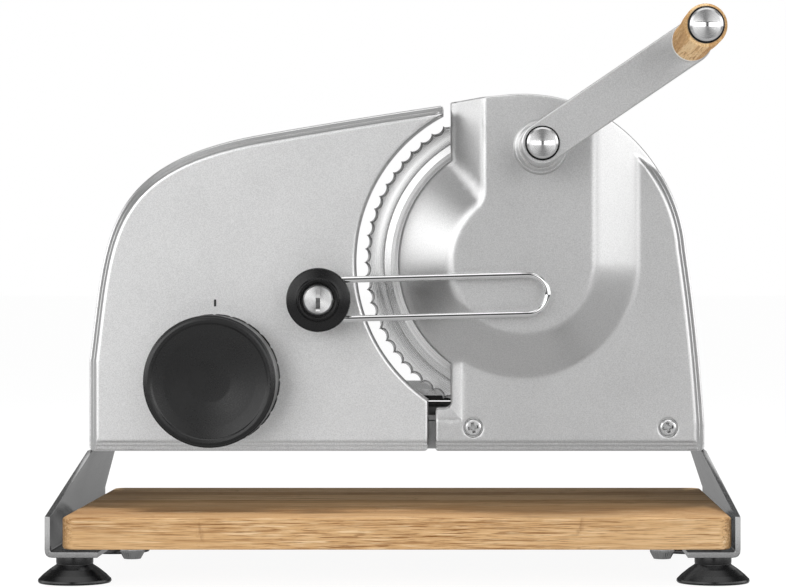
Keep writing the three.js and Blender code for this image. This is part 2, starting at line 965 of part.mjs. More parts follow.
function crankShaft() {
  const front = shaftShoulder - crankFront;
  const depth = coinScrewReach - crankFront + running;
  const hole = pin(coinScrewShank + seat, front - overrun, depth, screwSides);
  return cut(pin(shaftRadius, front, shaftBack, smallSides), hole);
}

function crankBush() {
  const inner = shaftRadius + seat;
  return turned(
    [
      [inner, bushFlangeFront],
      [bushFlangeRadius, bushFlangeFront],
      [bushFlangeRadius, bushFlangeBack],
      [inner + bushWall, bushFlangeBack],
      [inner + bushWall, crankBossBack],
      [inner, crankBossBack],
      [inner, bushFlangeFront],
    ],
    smallSides,
  );
}

function crankPinion() {
  const gapAngle = lineOfCentres + Math.PI - crankRestAngle * degree;
  const firstTooth = gapAngle + Math.PI / pinionTeeth;
  const body = join(
    slab(gearOutline(pinionTeeth, firstTooth), pinionFront, pinionBack),
    pin(pinionHubRadius, pinionHubFront, pinionBack, smallSides),
  );
  const bore = pin(shaftRadius + seat, pinionHubFront - overrun, pinionBack + overrun, smallSides);
  return cut(body, bore);
}

const spindleRadius = 4;
const spindleHeadRadius = 6;
const spindleHeadThickness = 1.6;
const hubRadius = 10.9;
const hubWaistRadius = 10;

function crankArm() {
  const outline = [
    ...arc(0, 0, armRadius, 90, 270, screwSides),
    ...arc(crankLength, 0, armRadius, -90, 90, screwSides),
  ];
  const plate = slab(outline, -crankFront, armBack);
  const hubMiddle = (armBack + hubNeckBack) / 2;
  const hub = turned(
    [
      [0, armBack - armThickness / 2],
      [hubWaistRadius, armBack - armThickness / 2],
      [hubWaistRadius, hubMiddle],
      [hubRadius, hubMiddle],
      [hubRadius, hubNeckBack],
      [0, hubNeckBack],
    ],
    largeSides,
  );
  const shaftEnd = shaftShoulder - seat - crankFront;
  const shaftHole = pin(shaftRadius + seat, shaftEnd, hubNeckBack + overrun, smallSides);
  const screwHole = pin(coinScrewShank + seat, -crankFront - overrun, armBack, screwSides);
  const spindleHole = pin(spindleRadius + seat, -crankFront - overrun, armBack + overrun, screwSides);
  return cut(join(plate, hub), shaftHole, screwHole, moved(spindleHole, crankLength, 0, 0));
}

const gripRadius = 10.4;
const gripWaist = 10;
const gripWasherRadius = 10;
const gripWasherThickness = 3;
const gripWasherBack = -crankFront - seat;
const gripWasherFront = gripWasherBack - gripWasherThickness;
const gripBack = gripWasherFront - seat;
const gripFront = gripBack - gripLength;
const spindleFront = gripFront - seat;
const gripEdge = 1.5;

function crankGrip() {
  return turned(
    [
      [spindleRadius + seat, gripFront],
      [gripRadius - gripEdge, gripFront],
      [gripRadius, gripFront + gripEdge],
      [gripRadius, (gripFront + gripBack) / 2],
      [gripWaist, gripBack - gripEdge],
      [gripWaist - gripEdge, gripBack],
      [spindleRadius + seat, gripBack],
      [spindleRadius + seat, gripFront],
    ],
    smallSides,
  );
}

function gripWasher() {
  return ring(spindleRadius + seat, gripWasherRadius, gripWasherFront, gripWasherBack, smallSides);
}

function gripSpindle() {
  const headFront = armBack + seat;
  const headBack = headFront + spindleHeadThickness;
  const body = join(
    pin(spindleRadius, spindleFront, headBack, screwSides),
    pin(spindleHeadRadius, headFront, headBack, screwSides),
  );
  const depth = spindleFront + coinScrewReach;
  return cut(body, pin(coinScrewShank + seat, spindleFront - overrun, depth, screwSides));
}

// Slice gauge: a hollow cast plate with a steel face, moved towards the front by the knob

const gaugeWall = 2.5;
const gaugeFootX = -gaugeFootReach;
const gaugeTipX = -gaugeTipReach;
const gaugeShoulderShares = {
  start: [0, 0.26],
  rise: [0.044, 0.613],
  turn: [0.029, 0.824],
  top: [0.464, 0.911],
  slope: [0.72, 0.958],
};
const gaugeCurveSteps = 16;
const gaugeRidgeSteps = 3;
const gaugeArcSteps = 22;
const faceThickness = 1.5;

function shareOfGauge([shareX, shareZ]) {
  return new THREE.Vector2(
    gaugeLeft + (gaugeTipX - gaugeLeft) * shareX,
    standHeight + (gaugeCornerHeight - standHeight) * shareZ,
  );
}

function gaugeOutline(wall, bottom = standHeight) {
  const keys = ['start', 'rise', 'turn', 'top', 'slope'];
  const [start, rise, turn, top, slope] = keys.map((key) => shareOfGauge(gaugeShoulderShares[key]));
  const tip = new THREE.Vector2(gaugeTipX, gaugeCornerHeight);
  const shoulder = new THREE.CubicBezierCurve(start, rise, turn, top).getPoints(gaugeCurveSteps);
  const ridge = new THREE.QuadraticBezierCurve(tip, slope, top).getPoints(gaugeRidgeSteps).slice(1, -1);
  const tipAngle = 180 - Math.acos(gaugeTipReach / gaugeArcRadius) / degree;
  const footAngle = 180 + Math.acos(gaugeFootReach / gaugeArcRadius) / degree;
  const edge = arc(0, bladeHeight, gaugeArcRadius, footAngle, tipAngle, gaugeArcSteps);
  const corners = [
    [gaugeLeft, bottom, cornerRadius],
    [gaugeFootX, bottom, cornerRadius],
    ...edge.map(corner),
    [gaugeTipX, gaugeCornerHeight, footCornerRadius],
    ...ridge.map(corner),
    ...shoulder.reverse().map(corner),
  ];
  return rounded(inset(corners, wall));
}

const knobInset = 68.1;
const knobRise = 38.1;
const knobX = gaugeLeft + knobInset;
const knobZ = standHeight + knobRise;
const guardInset = 17.6;
const guardDrop = 20;
const guardX = -gaugeArcRadius - guardInset;
const guardZ = bladeHeight - guardDrop;
const spindleShaft = 5;
const guidePinRadius = 4;
const guideBossRadius = 7;
const guideBossDepth = 3;
const guideReach = 42;
const guideRise = 8;
const guidePlaces = [
  [knobX - guideReach, knobZ + guideRise],
  [knobX + guideReach, knobZ + guideRise],
];
const gaugeBack = -faceThickness - seat;
const gaugeInside = gaugeWall - plateDepth;
const guideTip = gaugeBack - running;
const guardBossRadius = 7;
const guardScrewReach = 6;

function gaugePlate() {
  const shell = cut(
    slab(gaugeOutline(0), plateFront, gaugeBack),
    slab(gaugeOutline(gaugeWall), gaugeInside, gaugeBack + overrun),
  );
  const inside = gaugeInside - gaugeWall / 2;
  const guideBossBack = gaugeInside + guideBossDepth;
  const guardBossBack = gaugeInside + guardScrewReach;
  const front = plateFront - overrun;
  const guideBoss = pin(guideBossRadius, inside, guideBossBack, smallSides);
  const guardBoss = pin(guardBossRadius, inside, guardBossBack, smallSides);
  const guideHole = pin(guidePinRadius + seat, gaugeInside, guideBossBack + overrun, smallSides);
  const knobHole = pin(spindleShaft + seat, front, gaugeInside + overrun, smallSides);
  const guardHole = pin(coinScrewShank + seat, front, guardBossBack + overrun, screwSides);
  return cut(
    join(
      shell,
      ...guidePlaces.map(([x, z]) => moved(guideBoss, x, 0, z)),
      moved(guardBoss, guardX, 0, guardZ),
    ),
    ...guidePlaces.map(([x, z]) => moved(guideHole, x, 0, z)),
    moved(knobHole, knobX, 0, knobZ),
    moved(guardHole, guardX, 0, guardZ),
  );
}

function gaugeFace() {
  return slab(gaugeOutline(seat, bedBottom), -faceThickness, 0);
}

const bracketThickness = 2.5;
const bracketBack = -(gaugeTravel + faceThickness + seat);
const bracketFront = bracketBack - bracketThickness;
const bracketBottom = standHeight + gaugeWall + seat;
const bracketRise = 56;
const bracketReach = 54;
const bracketFlange = 3;
const bracketScrewReach = 44;
const bracketScrewHeight = (bracketBottom + bracketThickness + railTop) / 2;
const bracketScrewColumns = [knobX - bracketScrewReach, knobX + bracketScrewReach];
const nutRadius = 8.5;
const nutNeckRadius = 7;
const nutThickness = 2.7;
const nutSides = 6;

function gaugeBracket() {
  const web = bracketBottom + bracketThickness;
  const outline = [
    [bracketFront, bracketBottom],
    [0, bracketBottom],
    [0, railTop],
    [-bracketFlange, railTop],
    [-bracketFlange, web],
    [bracketBack, web],
    [bracketBack, bracketBottom + bracketRise],
    [bracketFront, bracketBottom + bracketRise],
  ].map(([y, z]) => new THREE.Vector2(y, z));
  const body = bar(outline, knobX - bracketReach, knobX + bracketReach);
  const through = [bracketFront - overrun, bracketBack + overrun];
  const nutHole = pin(nutNeckRadius + seat, ...through, smallSides);
  const guideHole = pin(guidePinRadius + seat, ...through, smallSides);
  const screwRadius = legScrewRadius + screwClearance;
  const screwHole = pin(screwRadius, -bracketFlange - overrun, overrun, screwSides);
  return cut(
    body,
    moved(nutHole, knobX, 0, knobZ),
    ...guidePlaces.map(([x, z]) => moved(guideHole, x, 0, z)),
    ...bracketScrewColumns.map((x) => moved(screwHole, x, 0, bracketScrewHeight)),
  );
}

const panHeadRadius = 4;
const panHeadHeight = 2.2;

function bracketScrew() {
  const under = -bracketFlange - seat;
  return turned(
    [
      [0, under - panHeadHeight],
      [panHeadRadius / 2, under - panHeadHeight],
      [panHeadRadius, under - panHeadHeight / 2],
      [panHeadRadius, under],
      [legScrewRadius, under],
      [legScrewRadius, frontScrewTip],
      [0, frontScrewTip],
    ],
    screwSides,
  );
}

function gaugeNut() {
  const back = bracketFront - seat;
  const front = back - nutThickness;
  const body = join(
    pin(nutRadius, front, back, nutSides),
    pin(nutNeckRadius, (front + back) / 2, bracketBack, smallSides),
  );
  return cut(body, pin(spindleShaft + seat, front - overrun, bracketBack + overrun, smallSides));
}

const knobRadius = 34.6;
const knobHeight = 29;
const knobSkirt = 2.4;
const knobRingRadius = 34.9;
const knobBack = plateFront - seat - knobSkirt - seat;
const knobFront = knobBack - knobHeight;
const knobBead = 3;
const knobDish = 1.6;
const knobSpindleDepth = 18;
const knobNotches = 24;
const notchDepth = 0.7;
const knobDishShare = 0.55;
const collarRadius = 8;
const collarThickness = 1.3;

function gaugeKnob() {
  const body = turned(
    [
      [0, knobFront + knobDish - seat],
      [knobRadius * knobDishShare, knobFront + knobDish],
      [knobRadius - 2 * knobBead, knobFront + knobDish],
      [knobRadius - knobBead, knobFront],
      [knobRadius - knobBead / 3, knobFront + knobBead / 3],
      [knobRadius, knobFront + knobBead],
      [knobRadius, knobBack - knobBead],
      [knobRadius - knobBead / 2, knobBack],
      [0, knobBack],
    ],
    largeSides,
  );
  const depth = knobBack - knobSpindleDepth;
  return cut(body, pin(spindleShaft + seat, depth, knobBack + overrun, smallSides));
}

function notchedRim(radius) {
  const points = [];
  for (let notch = 0; notch < knobNotches; notch += 1) {
    const step = (2 * Math.PI) / knobNotches;
    points.push(polar(radius, notch * step));
    points.push(polar(radius - notchDepth, notch * step + step / 2));
  }
  return points;
}

function knobScaleRing() {
  const back = plateFront - seat;
  const front = back - knobSkirt;
  const bore = pin(spindleShaft + seat, front - overrun, back + overrun, smallSides);
  return cut(slab(notchedRim(knobRingRadius), front, back), bore);
}

// The collar behind the plate's front wall makes the plate follow the spindle.
function gaugeSpindle() {
  const collarFront = gaugeInside + seat;
  return join(
    pin(spindleShaft, knobBack - knobSpindleDepth + seat, guideTip, smallSides),
    pin(collarRadius, collarFront, collarFront + collarThickness, smallSides),
  );
}

function guidePin() {
  return pin(guidePinRadius, gaugeInside + seat, guideTip, smallSides);
}

// Wire guide: a turning boss, the bent wire in it, and the coin screw that holds it

const wireRadius = 1.65;
const wireSpread = 10.2;
const wireTilt = 1.5;
const wirePastAxis = 14.5;
const wireReach = wirePastAxis - guardX;
const wireStart = 7;
const wireGapToDome = 5.8;
const wireY = domeFront - wireGapToDome - wireRadius;
const guardNeckRadius = 11;
const guardDiscRadius = 16.7;
const guardFace = 3;
const guardDiscBack = wireY + wireRadius + seat + running;
const guardDiscFront = wireY - wireRadius - seat - guardFace;
const guardRimRise = 2;
const guardRimOuter = 10.9;
const guardRimInner = 9.3;
const wireSides = 8;
const wireSteps = 56;

function guardWire() {
  const bendX = wireReach - wireSpread - wireRadius;
  const path = new THREE.CurvePath();
  const at = (x, z) => new THREE.Vector3(x, wireY, z);
  class Bend extends THREE.Curve {
    getPoint(share, target = new THREE.Vector3()) {
      const angle = (0.5 - share) * Math.PI;
      return target.set(bendX + wireSpread * Math.cos(angle), wireY, wireSpread * Math.sin(angle));
    }
  }
  path.add(new THREE.LineCurve3(at(wireStart, wireSpread), at(bendX, wireSpread)));
  path.add(new Bend());
  path.add(new THREE.LineCurve3(at(bendX, -wireSpread), at(wireStart, -wireSpread)));
  const section = new THREE.Shape(circle(0, 0, wireRadius, wireSides));
  const geometry = new THREE.ExtrudeGeometry(section, {
    extrudePath: path,
    steps: wireSteps,
    curveSegments: 1,
  });
  return solid(geometry);
}

function guardDisc() {
  const neckBack = plateFront - seat;
  const body = turned(
    [
      [coinScrewShank + seat, guardDiscFront + guardRimRise],
      [guardRimInner, guardDiscFront + guardRimRise],
      [guardRimInner, guardDiscFront - guardRimRise],
      [guardRimOuter, guardDiscFront - guardRimRise],
      [guardRimOuter, guardDiscFront],
      [guardDiscRadius - running, guardDiscFront],
      [guardDiscRadius, guardDiscFront + running],
      [guardDiscRadius, guardDiscBack],
      [guardNeckRadius, guardDiscBack],
      [guardNeckRadius, neckBack],
      [coinScrewShank + seat, neckBack],
      [coinScrewShank + seat, guardDiscFront + guardRimRise],
    ],
    largeSides,
  );
  const channels = [wireSpread, -wireSpread].map((z) =>
    pinAlongX(wireRadius + seat, wireStart - seat, guardDiscRadius + overrun, wireY, z, wireSides),
  );
  return cut(body, ...channels);
}

// Food carriage

const runnerHeight = 7.4;
const baseThickness = 2.4;
const runnerBottom = bedTop + seat;
const baseBottom = runnerBottom + runnerHeight;
const baseTop = baseBottom + baseThickness;
const tableThickness = 3.7;
const tableBottom = baseTop + seat;
const tableTop = tableBottom + tableThickness;
const tableInset = 59.1;
const tableLeft = gaugeLeft + tableInset;
const tableWidth = 145;
const tableRight = tableLeft + tableWidth;
const tableFront = 4;
const tableSetback = 14;
const tableDepth = bedDepth - tableSetback;
const tableBack = tableFront + tableDepth;
const baseInset = 1;
const runnerDepth = 24;
const leftRunnerWidth = 70;
const rightRunnerWidth = 9;
const endWallThickness = 3;
const endWallHeight = 51.6;
const endWallCorner = 10;
const tableCorner = 4;
const endWallTop = tableTop + endWallHeight;

function carriageBase() {
  const left = tableLeft + baseInset;
  const right = tableRight - baseInset;
  const front = tableFront + baseInset;
  const back = tableBack - baseInset;
  const body = block(left, right, front, back, baseBottom, baseTop);
  const runnerColumns = [
    [left, left + leftRunnerWidth],
    [right - rightRunnerWidth, right],
  ];
  const runnerRows = [
    [front, front + runnerDepth],
    [bedRibFront - runnerDepth / 2, bedRibBack + runnerDepth / 2],
  ];
  const runners = runnerColumns.flatMap(([x0, x1]) =>
    runnerRows.map(([y0, y1]) => block(x0, x1, y0, y1, runnerBottom, baseTop - baseThickness / 2)),
  );
  const groove = block(
    left - overrun,
    right + overrun,
    bedRibFront - seat,
    bedRibBack + seat,
    runnerBottom - overrun,
    bedTop + bedRibHeight + seat,
  );
  return cut(join(body, ...runners), groove);
}

function carriageTable() {
  const outline = rectangle(tableLeft, tableRight, tableFront, tableBack, tableCorner);
  const geometry = new THREE.ExtrudeGeometry(new THREE.Shape(outline), {
    depth: tableThickness,
    bevelEnabled: false,
    curveSegments: 1,
  });
  geometry.translate(0, 0, tableBottom);
  const wallBottom = tableTop - tableThickness / 2;
  const wall = rounded([
    [tableFront + tableCorner, wallBottom, 0],
    [tableBack - tableCorner, wallBottom, 0],
    [tableBack - tableCorner, endWallTop, cornerRadius],
    [tableFront + tableCorner, endWallTop, endWallCorner],
  ]);
  return join(solid(geometry), bar(wall, tableLeft, tableLeft + endWallThickness));
}

const holderSetback = 52;
const holderFront = tableFront + holderSetback;
const holderDepth = 40;
const holderBack = holderFront + holderDepth;
const holderPlateThickness = 4;
const holderWidth = 74;
const holderHeight = 66;
const holderCorner = 6;
const holderBottomGap = 3;
const holderBottom = tableTop + holderBottomGap;
const holderTop = holderBottom + holderHeight;
const saddleWall = 4;
const saddleDrop = 12;
const holderPlateLeft = tableLeft + endWallThickness + seat;

function foodHolder() {
  const saddleTop = endWallTop + seat + saddleWall;
  const saddleBottom = endWallTop - saddleDrop;
  const saddleLeft = tableLeft - seat - saddleWall;
  const saddleRight = holderPlateLeft + saddleWall;
  const saddle = cut(
    block(saddleLeft, saddleRight, holderFront, holderBack, saddleBottom, saddleTop),
    block(
      tableLeft - seat,
      holderPlateLeft,
      holderFront - overrun,
      holderBack + overrun,
      saddleBottom - overrun,
      endWallTop + seat,
    ),
  );
  const plate = slab(
    rectangle(holderPlateLeft, holderPlateLeft + holderWidth, holderBottom, holderTop, holderCorner),
    holderFront,
    holderFront + holderPlateThickness,
  );
  return join(saddle, plate);
}

const spikeShares = [0.25, 0.5, 0.75];
const spikeSides = 6;
const spikeHeight = 6;
const spikeRadius = 1.8;
const spikePlateInset = 10;
const spikePlateThickness = 1.2;

function holderSpikes() {
  const left = holderPlateLeft + spikePlateInset;
  const right = holderPlateLeft + holderWidth - spikePlateInset;
  const bottom = holderBottom + spikePlateInset;
  const top = holderTop - spikePlateInset;
  const back = holderFront - seat;
  const front = back - spikePlateThickness;
  const plate = slab(rectangle(left, right, bottom, top, cornerRadius), front, back);
  const spike = turned(
    [
      [0, front - spikeHeight],
      [spikeRadius, back - spikePlateThickness / 2],
      [0, back - spikePlateThickness / 2],
    ],
    spikeSides,
  );
  const spikes = spikeShares.flatMap((shareX) =>
    spikeShares.map((shareZ) =>
      moved(spike, left + (right - left) * shareX, 0, bottom + (top - bottom) * shareZ),
    ),
  );
  return join(plate, ...spikes);
}

const handleRadius = 15;
const handleNeckRadius = 8;
const handleLength = 34;
const handleEndShare = 0.8;

function holderHandle() {
  const front = holderFront + holderPlateThickness + seat;
  const back = front + handleLength;
  return turned(
    [
      [0, front],
      [handleRadius, front],
      [handleNeckRadius, front + handleLength / 4],
      [handleNeckRadius, back - handleLength / 2],
      [handleRadius, back - handleLength / 5],
      [handleRadius * handleEndShare, back],
      [0, back],
    ],
    smallSides,
  );
}

// The pieces in their places

add('front_rail', frontRail(), satin);
add('rear_rail', rail(rearRailFront), satin);
add('carriage_bed', carriageBed(), satin);

[
  ['leg_left', legLeftX, legTabLeft, 1],
  ['leg_right', legRightX, legTabRight, -1],
].forEach(([name, outerX, tabX, side], i) => {
  add(name, leg(outerX, tabX, side), steel);
  railRows.forEach((y, row) => {
    const screws = groupAt(tabX + side * seat, y, railMiddle);
    add(`leg_screw_${2 * i + row + 1}`, legScrew(side), chrome, screws);
  });
  footRows.forEach((y, row) => {
    const feet = groupAt(footPlaceX(side), y, 0);
    add(`foot_${2 * i + row + 1}`, foot(), blackRubber, feet);
  });
});

add('board', board(), bamboo);
studColumns.forEach((x, column) => {
  studRows.forEach((y, row) => {
    add(`board_stud_${2 * column + row + 1}`, boardStud(), chrome, groupAt(x, y, 0));
  });
});

add('housing_cover', housingCover(), satin);
add('housing_rear_panel', rearPanel(), steel);
['cover_screw_left', 'cover_screw_right'].forEach((name, i) => {
  add(name, crossHeadScrew(), chrome, groupAt(coverScrewColumns[i], 0, coverScrewHeight));
});

const bladeGroup = groupAt(0, 0, bladeHeight);
add('blade', blade(), steel, bladeGroup);
add('blade_gear', bladeGear(), paleNylon, bladeGroup);
add('blade_bush', bladeBush(), brass, bladeGroup);
add('blade_lock', bladeLock(), blackPlastic, bladeGroup);
const axleFront = domeFront + coverWall + seat;
add('blade_axle', pin(axleRadius, axleFront, spigotBack - bushInset, smallSides), steel, bladeGroup);

add('crank_bush', crankBush(), brass, groupAt(crankX, 0, crankZ));
const crankGroup = groupAt(crankX, 0, crankZ);
crankGroup.rotation.y = -crankRestAngle * degree;
add('crank_shaft', crankShaft(), steel, crankGroup);
add('crank_pinion', crankPinion(), paleNylon, crankGroup);
add('crank_arm', crankArm(), satin, crankGroup);
const crankWasher = add('crank_washer', coinWasher(), blackPlastic, crankGroup);
crankWasher.position.y = -crankFront - seat;
const levelScrew = coinScrew(coinScrewReach, -crankRestAngle);
const crankScrew = add('crank_screw', levelScrew, chrome, crankGroup);
crankScrew.position.y = crankWasher.position.y - coinWasherThickness - seat;

const gripGroup = new THREE.Group();
gripGroup.position.x = crankLength;
crankGroup.add(gripGroup);
add('grip_spindle', gripSpindle(), steel, gripGroup);
add('grip_washer', gripWasher(), paleNylon, gripGroup);
add('crank_grip', crankGrip(), bamboo, gripGroup);
const gripScrewWasher = add('grip_screw_washer', coinWasher(), blackPlastic, gripGroup);
gripScrewWasher.position.y = spindleFront - seat;
const gripScrew = add('grip_screw', levelScrew, chrome, gripGroup);
gripScrew.position.y = gripScrewWasher.position.y - coinWasherThickness - seat;

add('gauge_plate', gaugePlate(), satin);
add('gauge_face', gaugeFace(), steel);
add('gauge_bracket', gaugeBracket(), satin);
bracketScrewColumns.forEach((x, i) => {
  add(`bracket_screw_${i + 1}`, bracketScrew(), chrome, groupAt(x, 0, bracketScrewHeight));
});
guidePlaces.forEach(([x, z], i) => {
  add(`gauge_pin_${i + 1}`, guidePin(), steel, groupAt(x, 0, z));
});
const knobGroup = groupAt(knobX, 0, knobZ);
add('gauge_nut', gaugeNut(), brass, knobGroup);
add('gauge_spindle', gaugeSpindle(), steel, knobGroup);
add('gauge_knob', gaugeKnob(), blackPlastic, knobGroup);
add('knob_scale_ring', knobScaleRing(), blackPlastic, knobGroup);

const guardGroup = groupAt(guardX, 0, guardZ);
guardGroup.rotation.y = -wireTilt * degree;
add('guard_disc', guardDisc(), blackPlastic, guardGroup);
add('guard_wire', guardWire(), chrome, guardGroup);
const guardScrewTop = guardDiscFront + guardRimRise - seat;
const guardScrewLength = gaugeInside + guardScrewReach - guardScrewTop;
const uprightScrew = coinScrew(guardScrewLength, 90 - wireTilt);
add('guard_screw', uprightScrew, chrome, guardGroup).position.y = guardScrewTop;

add('carriage_base', carriageBase(), blackPlastic);
add('carriage_table', carriageTable(), satin);
add('food_holder', foodHolder(), blackPlastic);
add('holder_spikes', holderSpikes(), steel);
const handleGroup = groupAt(holderPlateLeft + holderWidth / 2, 0, (holderBottom + holderTop) / 2);
add('holder_handle', holderHandle(), blackPlastic, handleGroup);

// The origin is the middle of the footprint, on the table

slicer.updateMatrixWorld(true);
const extent = new THREE.Box3().setFromObject(slicer, true);
const middle = extent.getCenter(new THREE.Vector3());
slicer.children.forEach((child) => {
  child.position.x -= middle.x;
  child.position.y -= middle.y;
  child.position.z -= extent.min.z;
});

export default slicer;
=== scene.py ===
import math

import bmesh
import bpy
import numpy as np
from mathutils import Matrix, Vector
from mathutils.geometry import delaunay_2d_cdt


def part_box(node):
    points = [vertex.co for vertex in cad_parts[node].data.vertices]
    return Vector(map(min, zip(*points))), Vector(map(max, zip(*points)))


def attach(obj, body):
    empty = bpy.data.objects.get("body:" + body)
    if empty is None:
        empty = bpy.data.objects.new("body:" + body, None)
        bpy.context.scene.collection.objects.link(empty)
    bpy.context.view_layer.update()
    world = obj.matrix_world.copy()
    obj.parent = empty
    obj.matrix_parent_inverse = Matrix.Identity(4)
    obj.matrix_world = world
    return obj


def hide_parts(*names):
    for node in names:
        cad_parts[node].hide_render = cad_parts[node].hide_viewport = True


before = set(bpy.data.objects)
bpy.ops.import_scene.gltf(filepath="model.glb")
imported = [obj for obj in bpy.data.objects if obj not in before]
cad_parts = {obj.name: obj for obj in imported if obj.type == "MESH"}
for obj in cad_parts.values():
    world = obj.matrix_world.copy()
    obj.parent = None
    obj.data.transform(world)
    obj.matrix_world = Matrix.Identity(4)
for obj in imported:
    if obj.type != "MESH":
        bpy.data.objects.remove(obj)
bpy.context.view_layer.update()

# A hand cranked food slicer on a bamboo board. Lengths here are millimetres in the CAD's own modelling
# frame: x = 0 and z = BLADE_Z is the blade's axis, y = 0 the plane of its edge, -y the side of the crank.
MM = 0.001
SHIFT = np.array((66.7, 20.85, 0.0))
BLADE_Z = 164.8
STAND_Z = 64.2
PLATE = 26.0
DEGREE = math.pi / 180


# ---------------------------------------------------------------- meshes

def finish_mesh(obj, material, body, replaced=(), angle=35):
    mesh = obj.data
    mesh.materials.clear()
    mesh.materials.append(material)
    mesh.polygons.foreach_set("use_smooth", [True] * len(mesh.polygons))
    mesh.set_sharp_from_angle(angle=angle * DEGREE)
    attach(obj, body)
    if replaced:
        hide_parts(*replaced)
    return obj


def placed(points):
    """Points of the modelling frame, in metres of the shared one."""
    return (np.array(points) + SHIFT) * MM


def added(name, data):
    obj = bpy.data.objects.new(name, data)
    bpy.context.scene.collection.objects.link(obj)
    return obj


def from_arrays(name, verts, faces, weld=0.0):
    """verts in millimetres in the modelling frame."""
    bm = bmesh.new()
    made = [bm.verts.new(v) for v in placed(verts).tolist()]
    for face in faces:
        if len(set(face)) > 2:
            bm.faces.new([made[i] for i in face])
    if weld:
        bmesh.ops.remove_doubles(bm, verts=bm.verts, dist=weld * MM)
        bmesh.ops.dissolve_degenerate(bm, edges=bm.edges, dist=weld * MM)
    bmesh.ops.recalc_face_normals(bm, faces=bm.faces)
    mesh = bpy.data.meshes.new(name)
    bm.to_mesh(mesh)
    bm.free()
    return added(name, mesh)


def rounded(points, steps=5):
    """A closed or open list of (a, b, radius): each named corner gets an arc of that radius."""
    out = []
    count = len(points)
    for i, (a, b, radius) in enumerate(points):
        here = Vector((a, b))
        if not radius:
            out.append((a, b))
            continue
        before = Vector(points[i - 1][:2]) - here
        after = Vector(points[(i + 1) % count][:2]) - here
        turn = before.angle(after)
        reach = radius / math.tan(turn / 2)
        before.normalize()
        after.normalize()
        middle = here + (before + after).normalized() * (radius / math.sin(turn / 2))
        start = here + before * reach - middle
        end = here + after * reach - middle
        sweep = start.angle_signed(end)
        for k in range(steps + 1):
            share = k / steps
            spot = start.copy()
            spot.rotate(Matrix.Rotation(-sweep * share, 2))
            out.append(tuple(middle + spot))
    return out


def skin(rows, sides):
    """The faces between rows of points that go round."""
    faces = []
    for i in range(rows - 1):
        for k in range(sides):
            n = (k + 1) % sides
            faces.append((i * sides + k, i * sides + n, (i + 1) * sides + n, (i + 1) * sides + k))
    return faces


def lathe(name, profile, place, axis="Y", sides=96, wave=None):
    """Turns (radius, along, corner radius) about the axis through place. wave(angle, radius, along) moves it."""
    line = rounded(profile)
    verts = []
    for radius, along in line:
        for k in range(sides):
            angle = 2 * math.pi * k / sides
            r, s = (radius, along) if wave is None else wave(angle, radius, along)
            u, v = r * math.cos(angle), r * math.sin(angle)
            verts.append(np.array(place) + ((u, s, v) if axis == "Y" else (u, v, s)))
    return from_arrays(name, verts, skin(len(line), sides), weld=0.002)


# ---------------------------------------------------------------- materials

class Tree:
    """A node tree, with short calls for the nodes used here."""

    def __init__(self, tree):
        self.tree = tree

    def node(self, kind, **values):
        made = self.tree.nodes.new(kind)
        for key, value in values.items():
            setattr(made, key, value)
        return made

    def link(self, start, end):
        self.tree.links.new(start, end)

    def feed(self, socket, value):
        """Links an output to the socket, or sets it to a value."""
        if isinstance(value, bpy.types.NodeSocket):
            self.link(value, socket)
        else:
            socket.default_value = value

    def fill(self, node, **inputs):
        """Feeds a node's inputs by their names, with _ for a space."""
        for key, value in inputs.items():
            self.feed(node.inputs[key.replace("_", " ")], value)
        return node

    def math(self, operation, *inputs):
        made = self.node("ShaderNodeMath", operation=operation)
        for i, value in enumerate(inputs):
            self.feed(made.inputs[i], value)
        return made.outputs[0]

    def times(self, first, second):
        return self.math("MULTIPLY", first, second)

    def plus(self, first, second):
        return self.math("ADD", first, second)

    def mix(self, factor, first, second):
        return self.fill(self.node("ShaderNodeMix"), Factor=factor, A=first, B=second).outputs["Result"]

    def parts(self, vector):
        split = self.node("ShaderNodeSeparateXYZ")
        self.link(vector, split.inputs[0])
        return split.outputs

    def range(self, value, low, high, start=0.3, end=0.7, way="LINEAR"):
        made = self.node("ShaderNodeMapRange", interpolation_type=way)
        self.fill(made, Value=value, From_Min=start, From_Max=end, To_Min=low, To_Max=high)
        return made.outputs["Result"]


